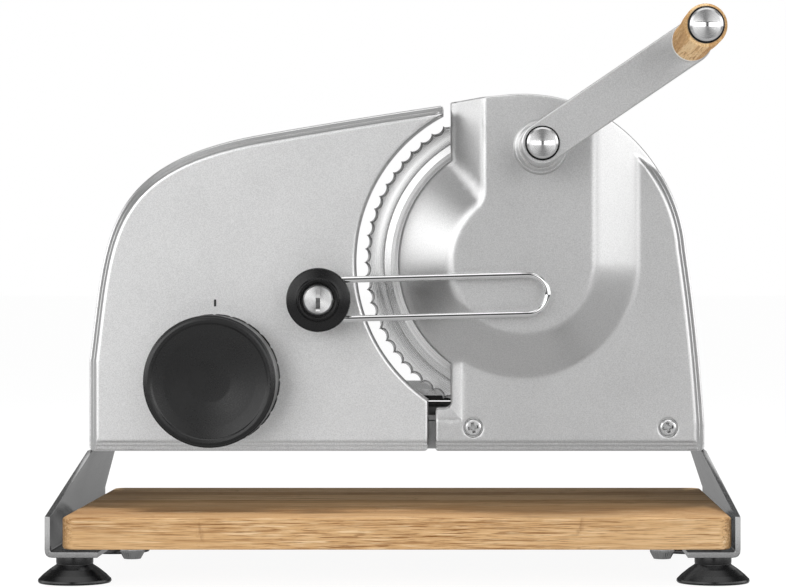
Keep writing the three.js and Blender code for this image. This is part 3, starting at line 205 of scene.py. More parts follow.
class Nodes(Tree):
    """A material's node tree with its shader."""

    def __init__(self, name, colour, metallic, roughness):
        self.material = bpy.data.materials.new(name)
        self.material.use_nodes = True
        super().__init__(self.material.node_tree)
        self.shader = self.tree.nodes["Principled BSDF"]
        self.fill(self.shader, Base_Color=(*colour, 1), Metallic=metallic, Roughness=roughness)
        self.place = self.node("ShaderNodeTexCoord").outputs["Object"]

    def mapped(self, shift=(0, 0, 0), scale=(1, 1, 1)):
        return self.fill(self.node("ShaderNodeMapping"), Vector=self.place, Location=shift, Scale=scale).outputs[0]

    def noise(self, scale, detail=2.0, vector=None, rough=0.5):
        made = self.node("ShaderNodeTexNoise")
        self.fill(made, Vector=vector or self.place, Scale=scale, Detail=detail, Roughness=rough)
        return made.outputs["Fac"]

    def ramp(self, factor, stops):
        made = self.node("ShaderNodeValToRGB")
        self.link(factor, made.inputs["Fac"])
        elements = made.color_ramp.elements
        while len(elements) < len(stops):
            elements.new(0.5)
        for element, (at, colour) in zip(elements, stops):
            element.position = at
            element.color = (*colour, 1)
        return made.outputs["Color"]

    def colour(self, source):
        self.fill(self.shader, Base_Color=source)

    def rough(self, source):
        self.fill(self.shader, Roughness=source)

    def shade(self, source, tone, dark, light, start=0.3, end=0.7):
        """A grey that the source varies between two shares of its tone."""
        return self.ramp(source, [(start, grey(tone * dark)), (end, grey(tone * light))])

    def rings(self, node, scale, detail):
        """Noise in rings round the piece's axis along Y, with the offsets from that axis."""
        low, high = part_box(node)
        spot = self.parts(self.mapped(shift=tuple(-(low + high) / 2)))
        x, z = spot[0], spot[2]
        joined = self.node("ShaderNodeCombineXYZ")
        self.link(self.math("SQRT", self.plus(self.times(x, x), self.times(z, z))), joined.inputs[0])
        return self.noise(scale, detail, joined.outputs[0], 0.7), x, z

    def bump(self, height, strength, distance):
        made = self.fill(self.node("ShaderNodeBump"), Strength=strength, Distance=distance, Height=height)
        self.fill(self.shader, Normal=made.outputs["Normal"])


def grey(value):
    return (value, value, value)


def cast_metal(name, tone, rough):
    """Blasted, satin lacquered casting: a fine sand texture with slow changes of tone."""
    n = Nodes(name, grey(tone), 0.93, rough)
    fine = n.noise(1700, 3, rough=0.65)
    slow = n.noise(22, 2)
    mixed = n.plus(n.times(fine, 0.8), n.times(slow, 0.2))
    n.colour(n.shade(mixed, tone, 0.87, 1.11, 0.36, 0.64))
    n.rough(n.range(fine, rough - 0.04, rough + 0.05))
    n.bump(fine, 0.22, 0.00012)
    return n.material


def sheet_steel(name, tone=0.62, rough=0.3, along=(1, 1, 60), bump=0.06, painted_shade_reach=0.0):
    """Rolled or brushed steel: fine lines along one direction, and painted shade that darkens its colour near another
    piece.
    """
    n = Nodes(name, grey(tone), 1.0, rough)
    lines = n.noise(260, 4, n.mapped(scale=along), 0.7)
    colour = n.shade(lines, tone, 0.86, 1.08)
    if painted_shade_reach:
        # Painted shade: ambient occlusion darkens the colour towards black where another piece is near.
        gap = n.fill(n.node("ShaderNodeAmbientOcclusion", samples=8), Distance=painted_shade_reach)
        shade = n.node("ShaderNodeMix", data_type="RGBA", blend_type="MULTIPLY")
        shade.inputs["Factor"].default_value = 1.0
        n.link(colour, shade.inputs[6])
        n.link(n.ramp(gap.outputs["AO"], [(0.45, grey(0.06)), (0.9, grey(1.0))]), shade.inputs[7])
        colour = shade.outputs[2]
    n.colour(colour)
    n.rough(n.range(lines, rough - 0.06, rough + 0.08))
    n.bump(lines, bump, 0.0001)
    return n.material


def ground_disc(name, node, tone=0.66, rough=0.24):
    """Steel ground while it turns: fine rings round an axis along Y."""
    n = Nodes(name, grey(tone), 1.0, rough)
    rings, _, _ = n.rings(node, 2600, 3)
    n.colour(n.shade(rings, tone, 0.86, 1.1))
    n.rough(n.range(rings, rough - 0.05, rough + 0.07))
    n.bump(rings, 0.05, 0.00008)
    return n.material


def polished(name, tone=0.85, rough=0.08):
    n = Nodes(name, grey(tone), 1.0, rough)
    smear = n.noise(90, 3)
    n.colour(n.shade(smear, tone, 0.94, 1.03))
    n.rough(n.range(smear, rough * 0.7, rough * 1.5))
    n.bump(n.noise(700, 2), 0.015, 0.0001)
    return n.material


def moulded(name, colour, rough=0.5, scale=1500, strength=0.12, spread=0.16, shine=0.5):
    """Plastic or rubber with a fine eroded grain."""
    n = Nodes(name, colour, 0.0, rough)
    n.fill(n.shader, Specular_IOR_Level=shine)
    grain = n.noise(scale, 3, rough=0.6)
    slow = n.noise(30, 2)
    mixed = n.plus(n.times(grain, 0.55), n.times(slow, 0.45))
    low = tuple(c * (1 - spread) for c in colour)
    high = tuple(min(1, c * (1 + spread)) for c in colour)
    n.colour(n.ramp(mixed, [(0.35, low), (0.65, high)]))
    n.rough(n.range(mixed, rough - 0.06, rough + 0.08, 0.35, 0.65))
    n.bump(grain, strength, 0.0001)
    return n.material


def brass_metal(name):
    n = Nodes(name, (0.55, 0.38, 0.13), 1.0, 0.3)
    fine = n.noise(400, 3, n.mapped(scale=(1, 30, 1)))
    n.colour(n.ramp(fine, [(0.3, (0.47, 0.32, 0.11)), (0.7, (0.62, 0.44, 0.17))]))
    n.rough(n.range(fine, 0.24, 0.38))
    return n.material


def bamboo_wood(name, run, strip, tones, dark, pale, seed=0.0, knots=True):
    """Laminated bamboo: strips across one axis, each with its own tone, fine pores along the run."""
    n = Nodes(name, tones[1], 0.0, 0.55)
    n.fill(n.shader, Specular_IOR_Level=0.2, IOR=1.3)
    along = "XYZ".index(run)
    spot = n.parts(n.place)

    def stretched(share, shift=(0, 0, 0)):
        scale = [1.0, 1.0, 1.0]
        scale[along] = share
        return n.mapped(shift=shift, scale=tuple(scale))

    number = n.math("FLOOR", n.times(spot[1 if run == "X" else 0], 1 / strip))
    tone = n.fill(n.node("ShaderNodeTexWhiteNoise", noise_dimensions="1D"), W=n.plus(number, seed))
    fibres = n.noise(900, 5, stretched(0.025), 0.62)
    clouds = n.noise(70, 3, stretched(0.06))
    base = n.plus(n.times(tone.outputs["Value"], 0.30), n.times(fibres, 0.50))
    base = n.plus(base, n.times(clouds, 0.34))
    colour = n.ramp(base, [(0.34, tones[0]), (0.56, tones[1]), (0.8, tones[2])])

    def blend(colour, share, towards):
        mix = n.node("ShaderNodeMix", data_type="RGBA")
        n.link(share, mix.inputs["Factor"])
        n.link(colour, mix.inputs[6])
        mix.inputs[7].default_value = (*towards, 1)
        return mix.outputs[2]

    pores = n.noise(2100, 3, stretched(0.035), 0.6)
    streaks = n.noise(900, 2, stretched(0.028, (1, 5, 3)), 0.55)
    patches = n.range(n.noise(45, 2, stretched(0.2, (3, 1, 2))), 0.35, 1.0, 0.35, 0.6)
    for marks, first, last, start, end, towards in (
        (streaks, 0.8, 0.0, 0.36, 0.42, dark), (streaks, 0.0, 0.8, 0.6, 0.65, pale),
        (pores, 0.9, 0.0, 0.35, 0.46, dark), (pores, 0.0, 0.7, 0.56, 0.66, pale),
    ):
        colour = blend(colour, n.times(n.range(marks, first, last, start, end), patches), towards)
    if knots:
        shifted = n.plus(n.times(spot[along], 5.2),
                         n.times(tone.outputs["Value"], 7.3))
        part = n.math("ABSOLUTE", n.math("SUBTRACT", n.math("FRACT", shifted), 0.5))
        node_mark = n.range(part, 1.0, 0.0, 0.0, 0.013)
        soft = n.times(n.times(node_mark, 0.4), n.range(n.noise(260, 3), 0.0, 1.0, 0.5, 0.62))
        colour = blend(colour, soft, dark)
    n.colour(colour)
    n.rough(n.range(fibres, 0.55, 0.7))
    n.bump(fibres, 0.12, 0.00012)
    return n.material


def linear(*values):
    """Linear light from sRGB levels of 0 to 255."""
    return tuple(((v / 255 + 0.055) / 1.055) ** 2.4 if v > 10 else v / 3294.6 for v in values)


silver = cast_metal("silver_casting", tone=0.68, rough=0.34)
# A lighter copy of the casting for the gauge plate: painted light, for its face that catches more light than the
# housing's.
lit_silver_gauge = cast_metal("lit_silver_gauge", tone=0.84, rough=0.34)
silver_arm = cast_metal("silver_arm", tone=0.7, rough=0.33)
rolled = sheet_steel("rolled_steel")
# The legs' steel gets painted shade near the board and the other pieces.
leg_steel = sheet_steel("leg_steel", tone=0.78, rough=0.13, along=(1, 1, 40), bump=0.02, painted_shade_reach=0.045)
rail_steel = sheet_steel("rail_steel", tone=0.55, rough=0.3, along=(40, 1, 1))
bed_steel = sheet_steel("bed_steel", tone=0.7, rough=0.35, along=(40, 1, 1))
carriage_steel = sheet_steel("carriage_steel", tone=0.62, rough=0.3, along=(1, 40, 1))
steel = sheet_steel("brushed_steel", tone=0.66, rough=0.26, along=(60, 1, 1))
blade_steel = ground_disc("ground_steel", "blade")
chrome = polished("polished_steel", rough=0.05)
stud_steel = polished("stud_steel", tone=0.36, rough=0.2)
screw_satin = polished("screw_satin", tone=0.8, rough=0.22)
# Near-black steel for the cross screws' recesses: painted shade.
recess_shade_steel = polished("recess_shade_steel", tone=0.05, rough=0.4)
slot_steel = polished("slot_steel", tone=0.8, rough=0.1)
brass = brass_metal("brass")
knob_black = moulded("knob_plastic", linear(7, 7, 8), rough=0.3, strength=0.06, shine=0.55)
black = moulded("black_plastic", linear(9, 9, 10), rough=0.26, strength=0.04, shine=0.36)
rubber = moulded("black_rubber", linear(9, 9, 10), rough=0.24, scale=900, strength=0.05, shine=0.5)
nylon = moulded("pale_nylon", linear(240, 239, 236), rough=0.5, strength=0.05, spread=0.03)
tones = (linear(164, 120, 76), linear(212, 172, 124), linear(232, 198, 154))
board_wood = bamboo_wood("bamboo_board", "X", 0.0195, tones, linear(128, 84, 44), linear(240, 212, 172))
grip_tones = (linear(196, 150, 98), linear(230, 192, 140), linear(242, 214, 170))
grip_wood = bamboo_wood("bamboo_grip", "Y", 0.009, grip_tones, linear(160, 108, 60), linear(248, 222, 180),
                        seed=3.0, knots=False)


# ---------------------------------------------------------------- cast plates

def box(node):
    """A node's lowest and highest corner in millimetres, in the modelling frame."""
    low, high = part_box(node)
    return np.array(low) / MM - SHIFT, np.array(high) / MM - SHIFT


def arc(x, z, radius, start, end, steps):
    angles = np.linspace(start, end, steps + 1) * DEGREE
    return [(x + radius * math.cos(a), z + radius * math.sin(a)) for a in angles]


def bezier(points, steps):
    t = np.linspace(0, 1, steps + 1)[:, None]
    p = [np.array(q, float) for q in points]
    while len(p) > 1:
        p = [a * (1 - t) + b * t for a, b in zip(p, p[1:])]
    return [tuple(q) for q in p[0]]


def resample(line, step, closed):
    """The line's points with more between them, so that none are further apart than step."""
    pts = [np.array(p, float) for p in line]
    if closed:
        pts.append(pts[0])
    out = []
    for a, b in zip(pts, pts[1:]):
        length = np.linalg.norm(b - a)
        if length < 1e-6:
            continue
        count = max(1, math.ceil(length / step))
        out += [a + (b - a) * k / count for k in range(count)]
    if not closed:
        out.append(pts[-1])
    return np.array(out)


def distance(points, line, closed):
    """Distance of each point to the line."""
    ends = np.vstack((line[1:], line[:1])) if closed else line[1:]
    starts = line if closed else line[:-1]
    along = ends - starts
    length = (along ** 2).sum(1)
    best = np.full(len(points), 1e9)
    for i in range(0, len(points), 4000):
        part = points[i:i + 4000, None, :] - starts[None]
        t = np.clip((part * along).sum(2) / length, 0, 1)
        best[i:i + 4000] = np.sqrt(((part - t[..., None] * along) ** 2).sum(2)).min(1)
    return best


def inside(points, line):
    x, z = points[:, 0], points[:, 1]
    crossed = np.zeros(len(points), int)
    for a, b in zip(line, np.roll(line, -1, 0)):
        over = (a[1] > z) != (b[1] > z)
        with np.errstate(divide="ignore", invalid="ignore"):
            at = a[0] + (z - a[1]) * (b[0] - a[0]) / (b[1] - a[1])
        crossed += over & (x < at)
    return crossed % 2 == 1


def offset(line, closed, gap, side):
    """The line moved sideways by gap, with mitred corners. side is 1 for the left of its direction."""
    before = np.roll(line, 1, 0)
    after = np.roll(line, -1, 0)
    if not closed:
        before[0] = 2 * line[0] - line[1]
        after[-1] = 2 * line[-1] - line[-2]

    def normal(v):
        v = v / np.maximum(np.linalg.norm(v, axis=1, keepdims=True), 1e-9)
        return np.stack((-v[:, 1], v[:, 0]), 1)

    n1, n2 = normal(line - before), normal(after - line)
    middle = n1 + n2
    middle /= np.maximum(np.linalg.norm(middle, axis=1, keepdims=True), 1e-9)
    reach = gap / np.maximum((middle * n2).sum(1), 0.35)
    return line + side * middle * reach[:, None]


def soft_max(a, b, k):
    h = np.maximum(k - np.abs(a - b), 0) / k
    return np.maximum(a, b) + h * h * k / 4


def soft_min(a, b, k):
    return -soft_max(-a, -b, k)


def thin_out(groups, gap):
    """Keeps the points of the earlier groups, and later ones only where none is nearer than gap."""
    kept, cells = [], {}
    for points, space in groups:
        for p in points:
            key = (int(p[0] // gap), int(p[1] // gap))
            near = False
            for dx in (-1, 0, 1):
                for dz in (-1, 0, 1):
                    for q in cells.get((key[0] + dx, key[1] + dz), ()):
                        if abs(q[0] - p[0]) < space and abs(q[1] - p[1]) < space:
                            near = True
            if not near:
                kept.append(p)
                cells.setdefault(key, []).append(p)
    return kept


def cast_plate(name, outline, rings, grid, height, back, wall, material, body, replaced):
    """A cast shell: its front stands forward by height(x, z), its walls run back to back(x, z)."""
    groups = [(outline, 0.02)]
    for points in rings:
        good = inside(points, outline)
        good &= distance(points, outline, True) > 0.12
        groups.append((points[good], 0.16))
    low, high = outline.min(0), outline.max(0)
    xs, zs = np.arange(low[0], high[0], grid), np.arange(low[1], high[1], grid)
    gx, gz = np.meshgrid(xs, zs)
    gx = gx + (np.arange(len(zs)) % 2)[:, None] * grid / 2
    field = np.stack((gx.ravel(), gz.ravel()), 1)
    field = field[inside(field, outline)]
    field = field[distance(field, outline, True) > grid * 0.5]
    groups.append((field, grid * 0.45))
    points = thin_out(groups, grid)
    count = len(outline)
    edges = [(i, (i + 1) % count) for i in range(count)]
    made = delaunay_2d_cdt([Vector(p) for p in points], edges, [], 1, 1e-5)
    flat = np.array([tuple(v) for v in made[0]])
    front = height(flat)
    verts = [(p[0], -h, p[1]) for p, h in zip(flat, front)]
    faces = [tuple(f) for f in made[2]]
    first = {}
    for i, origin in enumerate(made[3]):
        for o in origin:
            if o < count:
                first[o] = i
    loop = [first[i] for i in range(count)]
    base = len(verts)
    backs = back(outline)
    verts += [(p[0], -b, p[1]) for p, b in zip(outline, backs)]
    for i in range(count):
        j = (i + 1) % count
        faces.append((loop[i], loop[j], base + j, base + i))
    mesh = bpy.data.meshes.new(name)
    mesh.from_pydata(placed(verts).tolist(), [], faces)
    obj = added(name, mesh)
    bm = bmesh.new()
    bm.from_mesh(mesh)
    bmesh.ops.recalc_face_normals(bm, faces=bm.faces)
    bm.faces.ensure_lookup_table()
    if sum(f.normal.y * f.calc_area() for f in bm.faces) > 0:
        bmesh.ops.reverse_faces(bm, faces=bm.faces)
    bm.to_mesh(mesh)
    bm.free()
    shell = obj.modifiers.new("wall", "SOLIDIFY")
    shell.thickness = wall * MM
    shell.offset = -1
    finish_mesh(obj, material, body, replaced, angle=24)
    return obj


# The rim's two sections: depth behind the front face at each distance from the edge. Along the sides and the
# top it falls away steeply, in two bands with a lip outside; along the bottom the bands face the front.
SIDE_RIM = np.array((
    (0.0, 11.9), (0.4, 11.2), (0.9, 10.8), (1.1, 10.2), (2.9, 5.5), (3.2, 5.2), (4.4, 2.0), (4.75, 1.2),
    (5.1, 0.62), (5.5, 0.2), (6.0, 0.0),
))
BOTTOM_RIM = np.array((
    (0.0, 3.6), (0.35, 2.95), (0.9, 2.6), (2.7, 2.35), (2.95, 1.55), (4.6, 1.35), (4.85, 0.5), (5.2, 0.16),
    (5.8, 0.0),
))
RIM_RINGS = (0.2, 0.4, 0.65, 0.9, 1.1, 2.0, 2.7, 2.93, 3.2, 3.8, 4.4, 4.6, 4.85, 5.1, 5.5, 6.0, 6.8)
EDGE_RINGS = (0.12, 0.3, 0.55, 0.85, 1.2, 1.6, 2.4)


def rim_depth(points, side_line, bottom_line):
    side_part = np.interp(distance(points, side_line, False), SIDE_RIM[:, 0], SIDE_RIM[:, 1])
    bottom_part = np.interp(distance(points, bottom_line, False), BOTTOM_RIM[:, 0], BOTTOM_RIM[:, 1])
    return np.maximum(side_part, bottom_part)


def edge_depth(points, outline, radius=1.3):
    s = np.minimum(distance(points, outline, True), radius)
    return radius - np.sqrt(np.maximum(radius ** 2 - (radius - s) ** 2, 0))


# ---------------------------------------------------------------- housing

COVER_R = 88.2
DOME_FRONT = 46.0
FLAT_R, FLAT_LEFT = 38.5, 21.0
DISC_R, WALL_X = 66.3, 38.2
SLOPE_DROP = 25.0
LEDGE_Z = 87.0
LEDGE_X = -46.2
HOUSING_X = 97.6
HOUSING_TOP = 249.9
CHAMFER, CHAMFER_DROP = 6.0, 3.6
SCREW_RECESS, SCREW_RECESS_R = 1.6, 5.1
SCREWS = [((box(n)[0] + box(n)[1]) / 2)[[0, 2]] for n in ("cover_screw_left", "cover_screw_right")]


def housing_side():
    """The right edge, from the bottom corner's end up and over the top to the wall."""
    high = BLADE_Z + COVER_R - STAND_Z
    start, bend, end = [(HOUSING_X * a, STAND_Z + high * b) for a, b in ((0.9, 0.57), (0.97, 0.33), (1, 0.075))]
    angle = math.atan2(start[1] - BLADE_Z, start[0]) / DEGREE
    top = arc(0, BLADE_Z, COVER_R, angle, 98, 70)
    side = bezier((end, bend, top[0]), 40)[:-1]
    return side, top


side, top = housing_side()
disc_turn = math.acos(WALL_X / DISC_R) / DEGREE
plate_line = rounded(
    [(LEDGE_X, STAND_Z, 1.5), (HOUSING_X, STAND_Z, 2.0)]
    + [(*p, 0) for p in side + top]
    + [(-WALL_X, HOUSING_TOP, 1.0)]
    + [(*p, 0) for p in arc(0, BLADE_Z, DISC_R, 180 - disc_turn, 180 + disc_turn, 90)]
    + [(-WALL_X, LEDGE_Z, 3.0), (LEDGE_X, LEDGE_Z, 1.5)]
)
housing_outline = resample(plate_line, 1.3, True)
housing_bottom = resample([(LEDGE_X - 3, STAND_Z), (HOUSING_X, STAND_Z)], 1.2, False)
housing_side_rim = resample([(HOUSING_X, STAND_Z)] + side + top[:44], 1.2, False)
housing_rim = np.vstack((housing_bottom[:-1], housing_side_rim))


def dome_slope(points):
    x, z = points[:, 0], points[:, 1] - BLADE_Z
    run = DISC_R - FLAT_R
    round_part = DOME_FRONT - SLOPE_DROP * (np.hypot(x, z) - FLAT_R) / run
    right = DOME_FRONT - SLOPE_DROP * (x - FLAT_R) / run
    left = DOME_FRONT - SLOPE_DROP * (-x - FLAT_LEFT) / (WALL_X - FLAT_LEFT)
    upper = np.where(x >= 0, right, soft_max(left, round_part, 5.5))
    return np.where(z >= 0, upper, round_part)


def housing_height(points):
    x, z = points[:, 0], points[:, 1]
    dome = soft_min(np.full(len(points), DOME_FRONT), dome_slope(points), 2.4)
    chamfer = PLATE - CHAMFER_DROP * (1 - np.maximum(x + WALL_X, LEDGE_Z - z) / CHAMFER)
    panel = soft_min(np.full(len(points), PLATE), chamfer, 0.5)
    panel = panel - rim_depth(points, housing_side_rim, housing_bottom)
    for centre in SCREWS:
        radius = np.hypot(x - centre[0], z - centre[1])
        panel -= np.interp(radius, (SCREW_RECESS_R, SCREW_RECESS_R + 0.25, SCREW_RECESS_R + 0.7),
                           (SCREW_RECESS, 0.12, 0.0))
    front = soft_max(dome, panel, 1.8)
    outer = distance(points, housing_rim, False) > 1.2
    return front - np.where(outer | (dome > panel), edge_depth(points, housing_outline), 0)


def housing_back(points):
    x, z = points[:, 0], points[:, 1]
    radius = np.hypot(x, z - BLADE_Z)
    back = np.where(radius < 86.4, 8.9, 2.3)
    return np.where((x < -WALL_X - 0.01) & (radius < DISC_R + 1), 13.0, back)


def dome_ring(t):
    radius = FLAT_R + (DISC_R - FLAT_R) * t
    left = FLAT_LEFT + (WALL_X - FLAT_LEFT) * t
    turn = math.acos(min(1, left / radius)) / DEGREE
    line = [(-left, HOUSING_TOP + 6)] + arc(0, BLADE_Z, radius, 180 - turn, 360, 100) + [(radius, HOUSING_TOP + 6)]
    return resample(line, 1.5, False)


rings = [offset(housing_outline, True, s, 1) for s in EDGE_RINGS]
rings += [offset(housing_rim, False, s, 1) for s in RIM_RINGS]
rings += [dome_ring(t) for t in (-0.14, -0.09, -0.05, -0.02, 0.01, 0.04, 0.08, 0.13, 0.3, 0.5, 0.7)]
rings += [dome_ring(t) for t in (0.74, 0.78, 0.8, 0.82, 0.85, 0.9, 0.97)]
for centre in SCREWS:
    rings += [np.array(arc(*centre, r, 0, 352.5, 47)) for r in (2.5, 4.9, 5.1, 5.35, 5.8, 7.0)]
strip = np.array([(-WALL_X + CHAMFER, z) for z in np.arange(LEDGE_Z - CHAMFER, 114, 1.2)])
notch = np.array([(x, LEDGE_Z - CHAMFER) for x in np.arange(LEDGE_X, CHAMFER - WALL_X, 1.2)])
mitre = np.array([(-WALL_X + k, LEDGE_Z - k) for k in np.arange(0.5, CHAMFER, 0.5)])
rings += [strip + (k, 0) for k in (-0.4, 0, 0.4)] + [notch + (0, k) for k in (-0.4, 0, 0.4)] + [mitre]
cast_plate("housing_casting", housing_outline, rings, 2.6, housing_height, housing_back, 2.0,
           silver, "stand", ("housing_cover",))


# ---------------------------------------------------------------- slice gauge

ARC_R = 89.2
GAUGE_X, GAUGE_FOOT, GAUGE_TIP, GAUGE_TOP = -231.6, -50.3, -42.2, 248.79
SHOULDER = ((0, 0.26), (0.044, 0.613), (0.029, 0.824), (0.464, 0.911))
RIDGE = (0.72, 0.958)


def gauge_point(share):
    return (GAUGE_X + (GAUGE_TIP - GAUGE_X) * share[0], STAND_Z + (GAUGE_TOP - STAND_Z) * share[1])


shoulder = bezier([gauge_point(s) for s in SHOULDER], 70)
ridge = bezier([gauge_point(SHOULDER[-1]), gauge_point(RIDGE), (GAUGE_TIP, GAUGE_TOP)], 36)[1:-1]
foot_angle = 180 + math.acos(-GAUGE_FOOT / ARC_R) / DEGREE
tip_angle = 180 - math.acos(-GAUGE_TIP / ARC_R) / DEGREE
gauge_line = rounded(
    [(GAUGE_X, STAND_Z, 2.0), (GAUGE_FOOT, STAND_Z, 2.0)]
    + [(*p, 0) for p in arc(0, BLADE_Z, ARC_R, foot_angle, tip_angle, 110)]
    + [(GAUGE_TIP, GAUGE_TOP, 1.5)]
    + [(*p, 0) for p in ridge[::-1] + shoulder[::-1]]
)
gauge_outline = resample(gauge_line, 1.3, True)
gauge_bottom = resample([(GAUGE_FOOT + 3, STAND_Z), (GAUGE_X, STAND_Z)], 1.2, False)
gauge_side_rim = resample([(GAUGE_X, STAND_Z)] + shoulder + ridge + [(GAUGE_TIP + 2, GAUGE_TOP + 0.3)], 1.2, False)
gauge_rim = np.vstack((gauge_bottom[:-1], gauge_side_rim))


def gauge_height(points):
    front = PLATE - rim_depth(points, gauge_side_rim, gauge_bottom)
    away = distance(points, gauge_rim, False) > 1.2
    return front - np.where(away, edge_depth(points, gauge_outline), 0)


rings = [offset(gauge_outline, True, s, 1) for s in EDGE_RINGS]
rings += [offset(gauge_rim, False, s, -1) for s in RIM_RINGS]
cast_plate("gauge_casting", gauge_outline, rings, 4.0, gauge_height, lambda p: np.full(len(p), 1.9), 2.3,
           lit_silver_gauge, "gauge_unit", ("gauge_plate",))


# ---------------------------------------------------------------- cutting and dressing

def baked(obj):
    """The object with its modifiers put into its mesh."""
    graph = bpy.context.evaluated_depsgraph_get()
    mesh = bpy.data.meshes.new_from_object(obj.evaluated_get(graph))
    obj.modifiers.clear()
    obj.data = mesh
    return obj


def carve(obj, *cutters):
    for cutter in cutters:
        cut = obj.modifiers.new("cut", "BOOLEAN")
        cut.operation = "DIFFERENCE"
        cut.object = cutter
    baked(obj)
    for cutter in cutters:
        bpy.data.objects.remove(cutter)
    return obj


def bevel(obj, width, segments=3, angle=30):
    made = obj.modifiers.new("edges", "BEVEL")
    made.width = width * MM
    made.segments = segments
    made.limit_method = "ANGLE"
    made.angle_limit = angle * DEGREE
    return obj


def between(name, first, second):
    """A solid between two outlines that have the same number of points."""
    count = len(first)
    faces = [tuple(range(count))[::-1], tuple(range(count, 2 * count))]
    faces += [(i, (i + 1) % count, count + (i + 1) % count, count + i) for i in range(count)]
    return from_arrays(name, first + second, faces)


def prism(name, outline, front, back):
    """The outline in the XZ plane, filled from y = front to y = back."""
    return between(name, *([(x, y, z) for x, z in outline] for y in (front, back)))


def dress(node, material, edge=0.35, segments=2, angle=28):
    """A carried-over CAD node: its material, and softened edges."""
    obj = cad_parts[node]
    obj.data.materials.clear()
    obj.data.materials.append(material)
    weld = obj.modifiers.new("weld", "WELD")
    weld.merge_threshold = 0.00001
    if edge:
        bevel(obj, edge, segments, angle)
    smooth(obj)
    return obj


def shading_nodes(angle):
    """Geometry nodes that shade faces smooth, with sharp edges over the angle."""
    tree = bpy.data.node_groups.new("smooth_by_angle", "GeometryNodeTree")
    for way in ("INPUT", "OUTPUT"):
        tree.interface.new_socket("Geometry", in_out=way, socket_type="NodeSocketGeometry")
    n = Tree(tree)
    start, end = n.node("NodeGroupInput"), n.node("NodeGroupOutput")
    faces, edges = [n.node("GeometryNodeSetShadeSmooth", domain=kind) for kind in ("FACE", "EDGE")]
    edges.inputs["Shade Smooth"].default_value = False
    turn = n.node("GeometryNodeInputMeshEdgeAngle")
    over = n.node("FunctionNodeCompare", operation="GREATER_THAN")
    over.inputs[1].default_value = angle * DEGREE
    n.link(turn.outputs["Unsigned Angle"], over.inputs[0])
    n.link(start.outputs[0], faces.inputs["Geometry"])
    n.link(faces.outputs[0], edges.inputs["Geometry"])
    n.link(over.outputs[0], edges.inputs["Selection"])
    n.link(edges.outputs[0], end.inputs[0])
    return tree


SMOOTH = shading_nodes(32)


def smooth(obj):
    obj.modifiers.new("smooth", "NODES").node_group = SMOOTH
    obj.modifiers.new("shading", "WEIGHTED_NORMAL").keep_sharp = True


def middle(node):
    low, high = box(node)
    return (low + high) / 2


def span(node):
    """A node's front and back, along Y."""
    low, high = box(node)
    return low[1], high[1]


def spun(u, w, angle):
    """A point of the XZ plane, turned about the origin."""
    c, s = math.cos(angle * DEGREE), math.sin(angle * DEGREE)
    return u * c - w * s, u * s + w * c


def upright(node):
    """Where the axis of a piece that is turned about Y stands."""
    x, _, z = middle(node)
    return (x, 0, z)


def turned(name, profile, place, material, body, slot, replaced=(), angle=40, **shape):
    return finish_mesh(lathe(name, profile, place, **shape), material, body, replaced, angle)


def line_recess(obj, material, centre, reach, near, far):
    """Gives the faces within reach of an axis along Y, from near to far behind centre, a second material."""
    obj.data.materials.append(material)
    start = Vector(placed(centre))
    for face in baked(obj).data.polygons:
        u, depth, w = face.center - start
        if math.hypot(u, w) < reach * MM and near * MM < depth < far * MM:
            face.material_index = 1


# ---------------------------------------------------------------- boss, screws and other turned pieces

COIN_R, SLOT_HALF, SLOT_CUTTER_R, SLOT_CENTRE = 7.97, 1.15, 11.0, 9.2


def coin_screw(name, node, angle, body):
    """A turned head with a coin slot milled by a round cutter, so the slot's floor is hollow."""
    head, back = span(node)
    x, _, z = middle(node)
    obj = lathe(name, [
        (0, head + 0.12, 0), (COIN_R - 1.0, head, 0.15), (COIN_R - 0.1, head + 0.8, 0.2),
        (COIN_R, head + 1.2, 0), (COIN_R, head + 2.6, 0.15), (3.0, head + 2.6, 0), (3.0, back, 0.2), (0, back, 0),
    ], (x, 0, z), sides=128)
    cutter = lathe("cutter", [(0, -SLOT_HALF, 0), (SLOT_CUTTER_R, -SLOT_HALF, 0), (SLOT_CUTTER_R, SLOT_HALF, 0),
                              (0, SLOT_HALF, 0)], (0, 0, 0), axis="Z", sides=128)
    cutter.data.transform(Matrix.Translation(-Vector(SHIFT * MM)))
    turn = Matrix.Rotation(-angle * DEGREE, 4, "Y")
    cutter.data.transform(Matrix.Translation(placed((x, head - SLOT_CENTRE, z))) @ turn)
    carve(obj, cutter)
    bevel(obj, 0.12, 2, 35)
    finish_mesh(obj, screw_steel(name + "_steel", node), body, (node,), 30)
    line_recess(obj, slot_steel, (x, head, z), 6.9, 0.35, 2.4)


def screw_steel(name, node):
    """Turned steel: rings of fine lines that spread the light along the radius."""
    n = Nodes(name, grey(0.8), 1.0, 0.28)
    n.fill(n.shader, Anisotropic=0.97)
    rings, x, z = n.rings(node, 6000, 2)
    n.colour(n.shade(rings, 0.8, 0.875, 1.075))
    n.rough(n.range(rings, 0.25, 0.33))
    n.bump(rings, 0.05, 0.00003)
    radial = n.fill(n.node("ShaderNodeCombineXYZ"), X=x, Z=z)
    moved = n.node("ShaderNodeVectorTransform", vector_type="VECTOR", convert_from="OBJECT", convert_to="WORLD")
    n.link(radial.outputs[0], moved.inputs[0])
    unit = n.node("ShaderNodeVectorMath", operation="NORMALIZE")
    n.link(moved.outputs[0], unit.inputs[0])
    n.fill(n.shader, Tangent=unit.outputs[0])
    return n.material


crank_centre = middle("crank_bush")
BOSS = -DOME_FRONT
turned("crank_boss", [
    (8.3, BOSS + 1.0, 0), (14.6, BOSS + 1.0, 0), (14.4, BOSS - 0.4, 0), (13.95, BOSS - 1.2, 1.0),
    (13.8, BOSS - 4.0, 0.7), (12.75, BOSS - 4.1, 0.3), (12.55, BOSS - 6.6, 0.3), (12.1, BOSS - 6.9, 0.2),
    (12.0, BOSS - 10.0, 0.6), (8.3, BOSS - 10.0, 0),
], upright("crank_bush"), silver, "stand", "satin_aluminium", angle=30, sides=128)

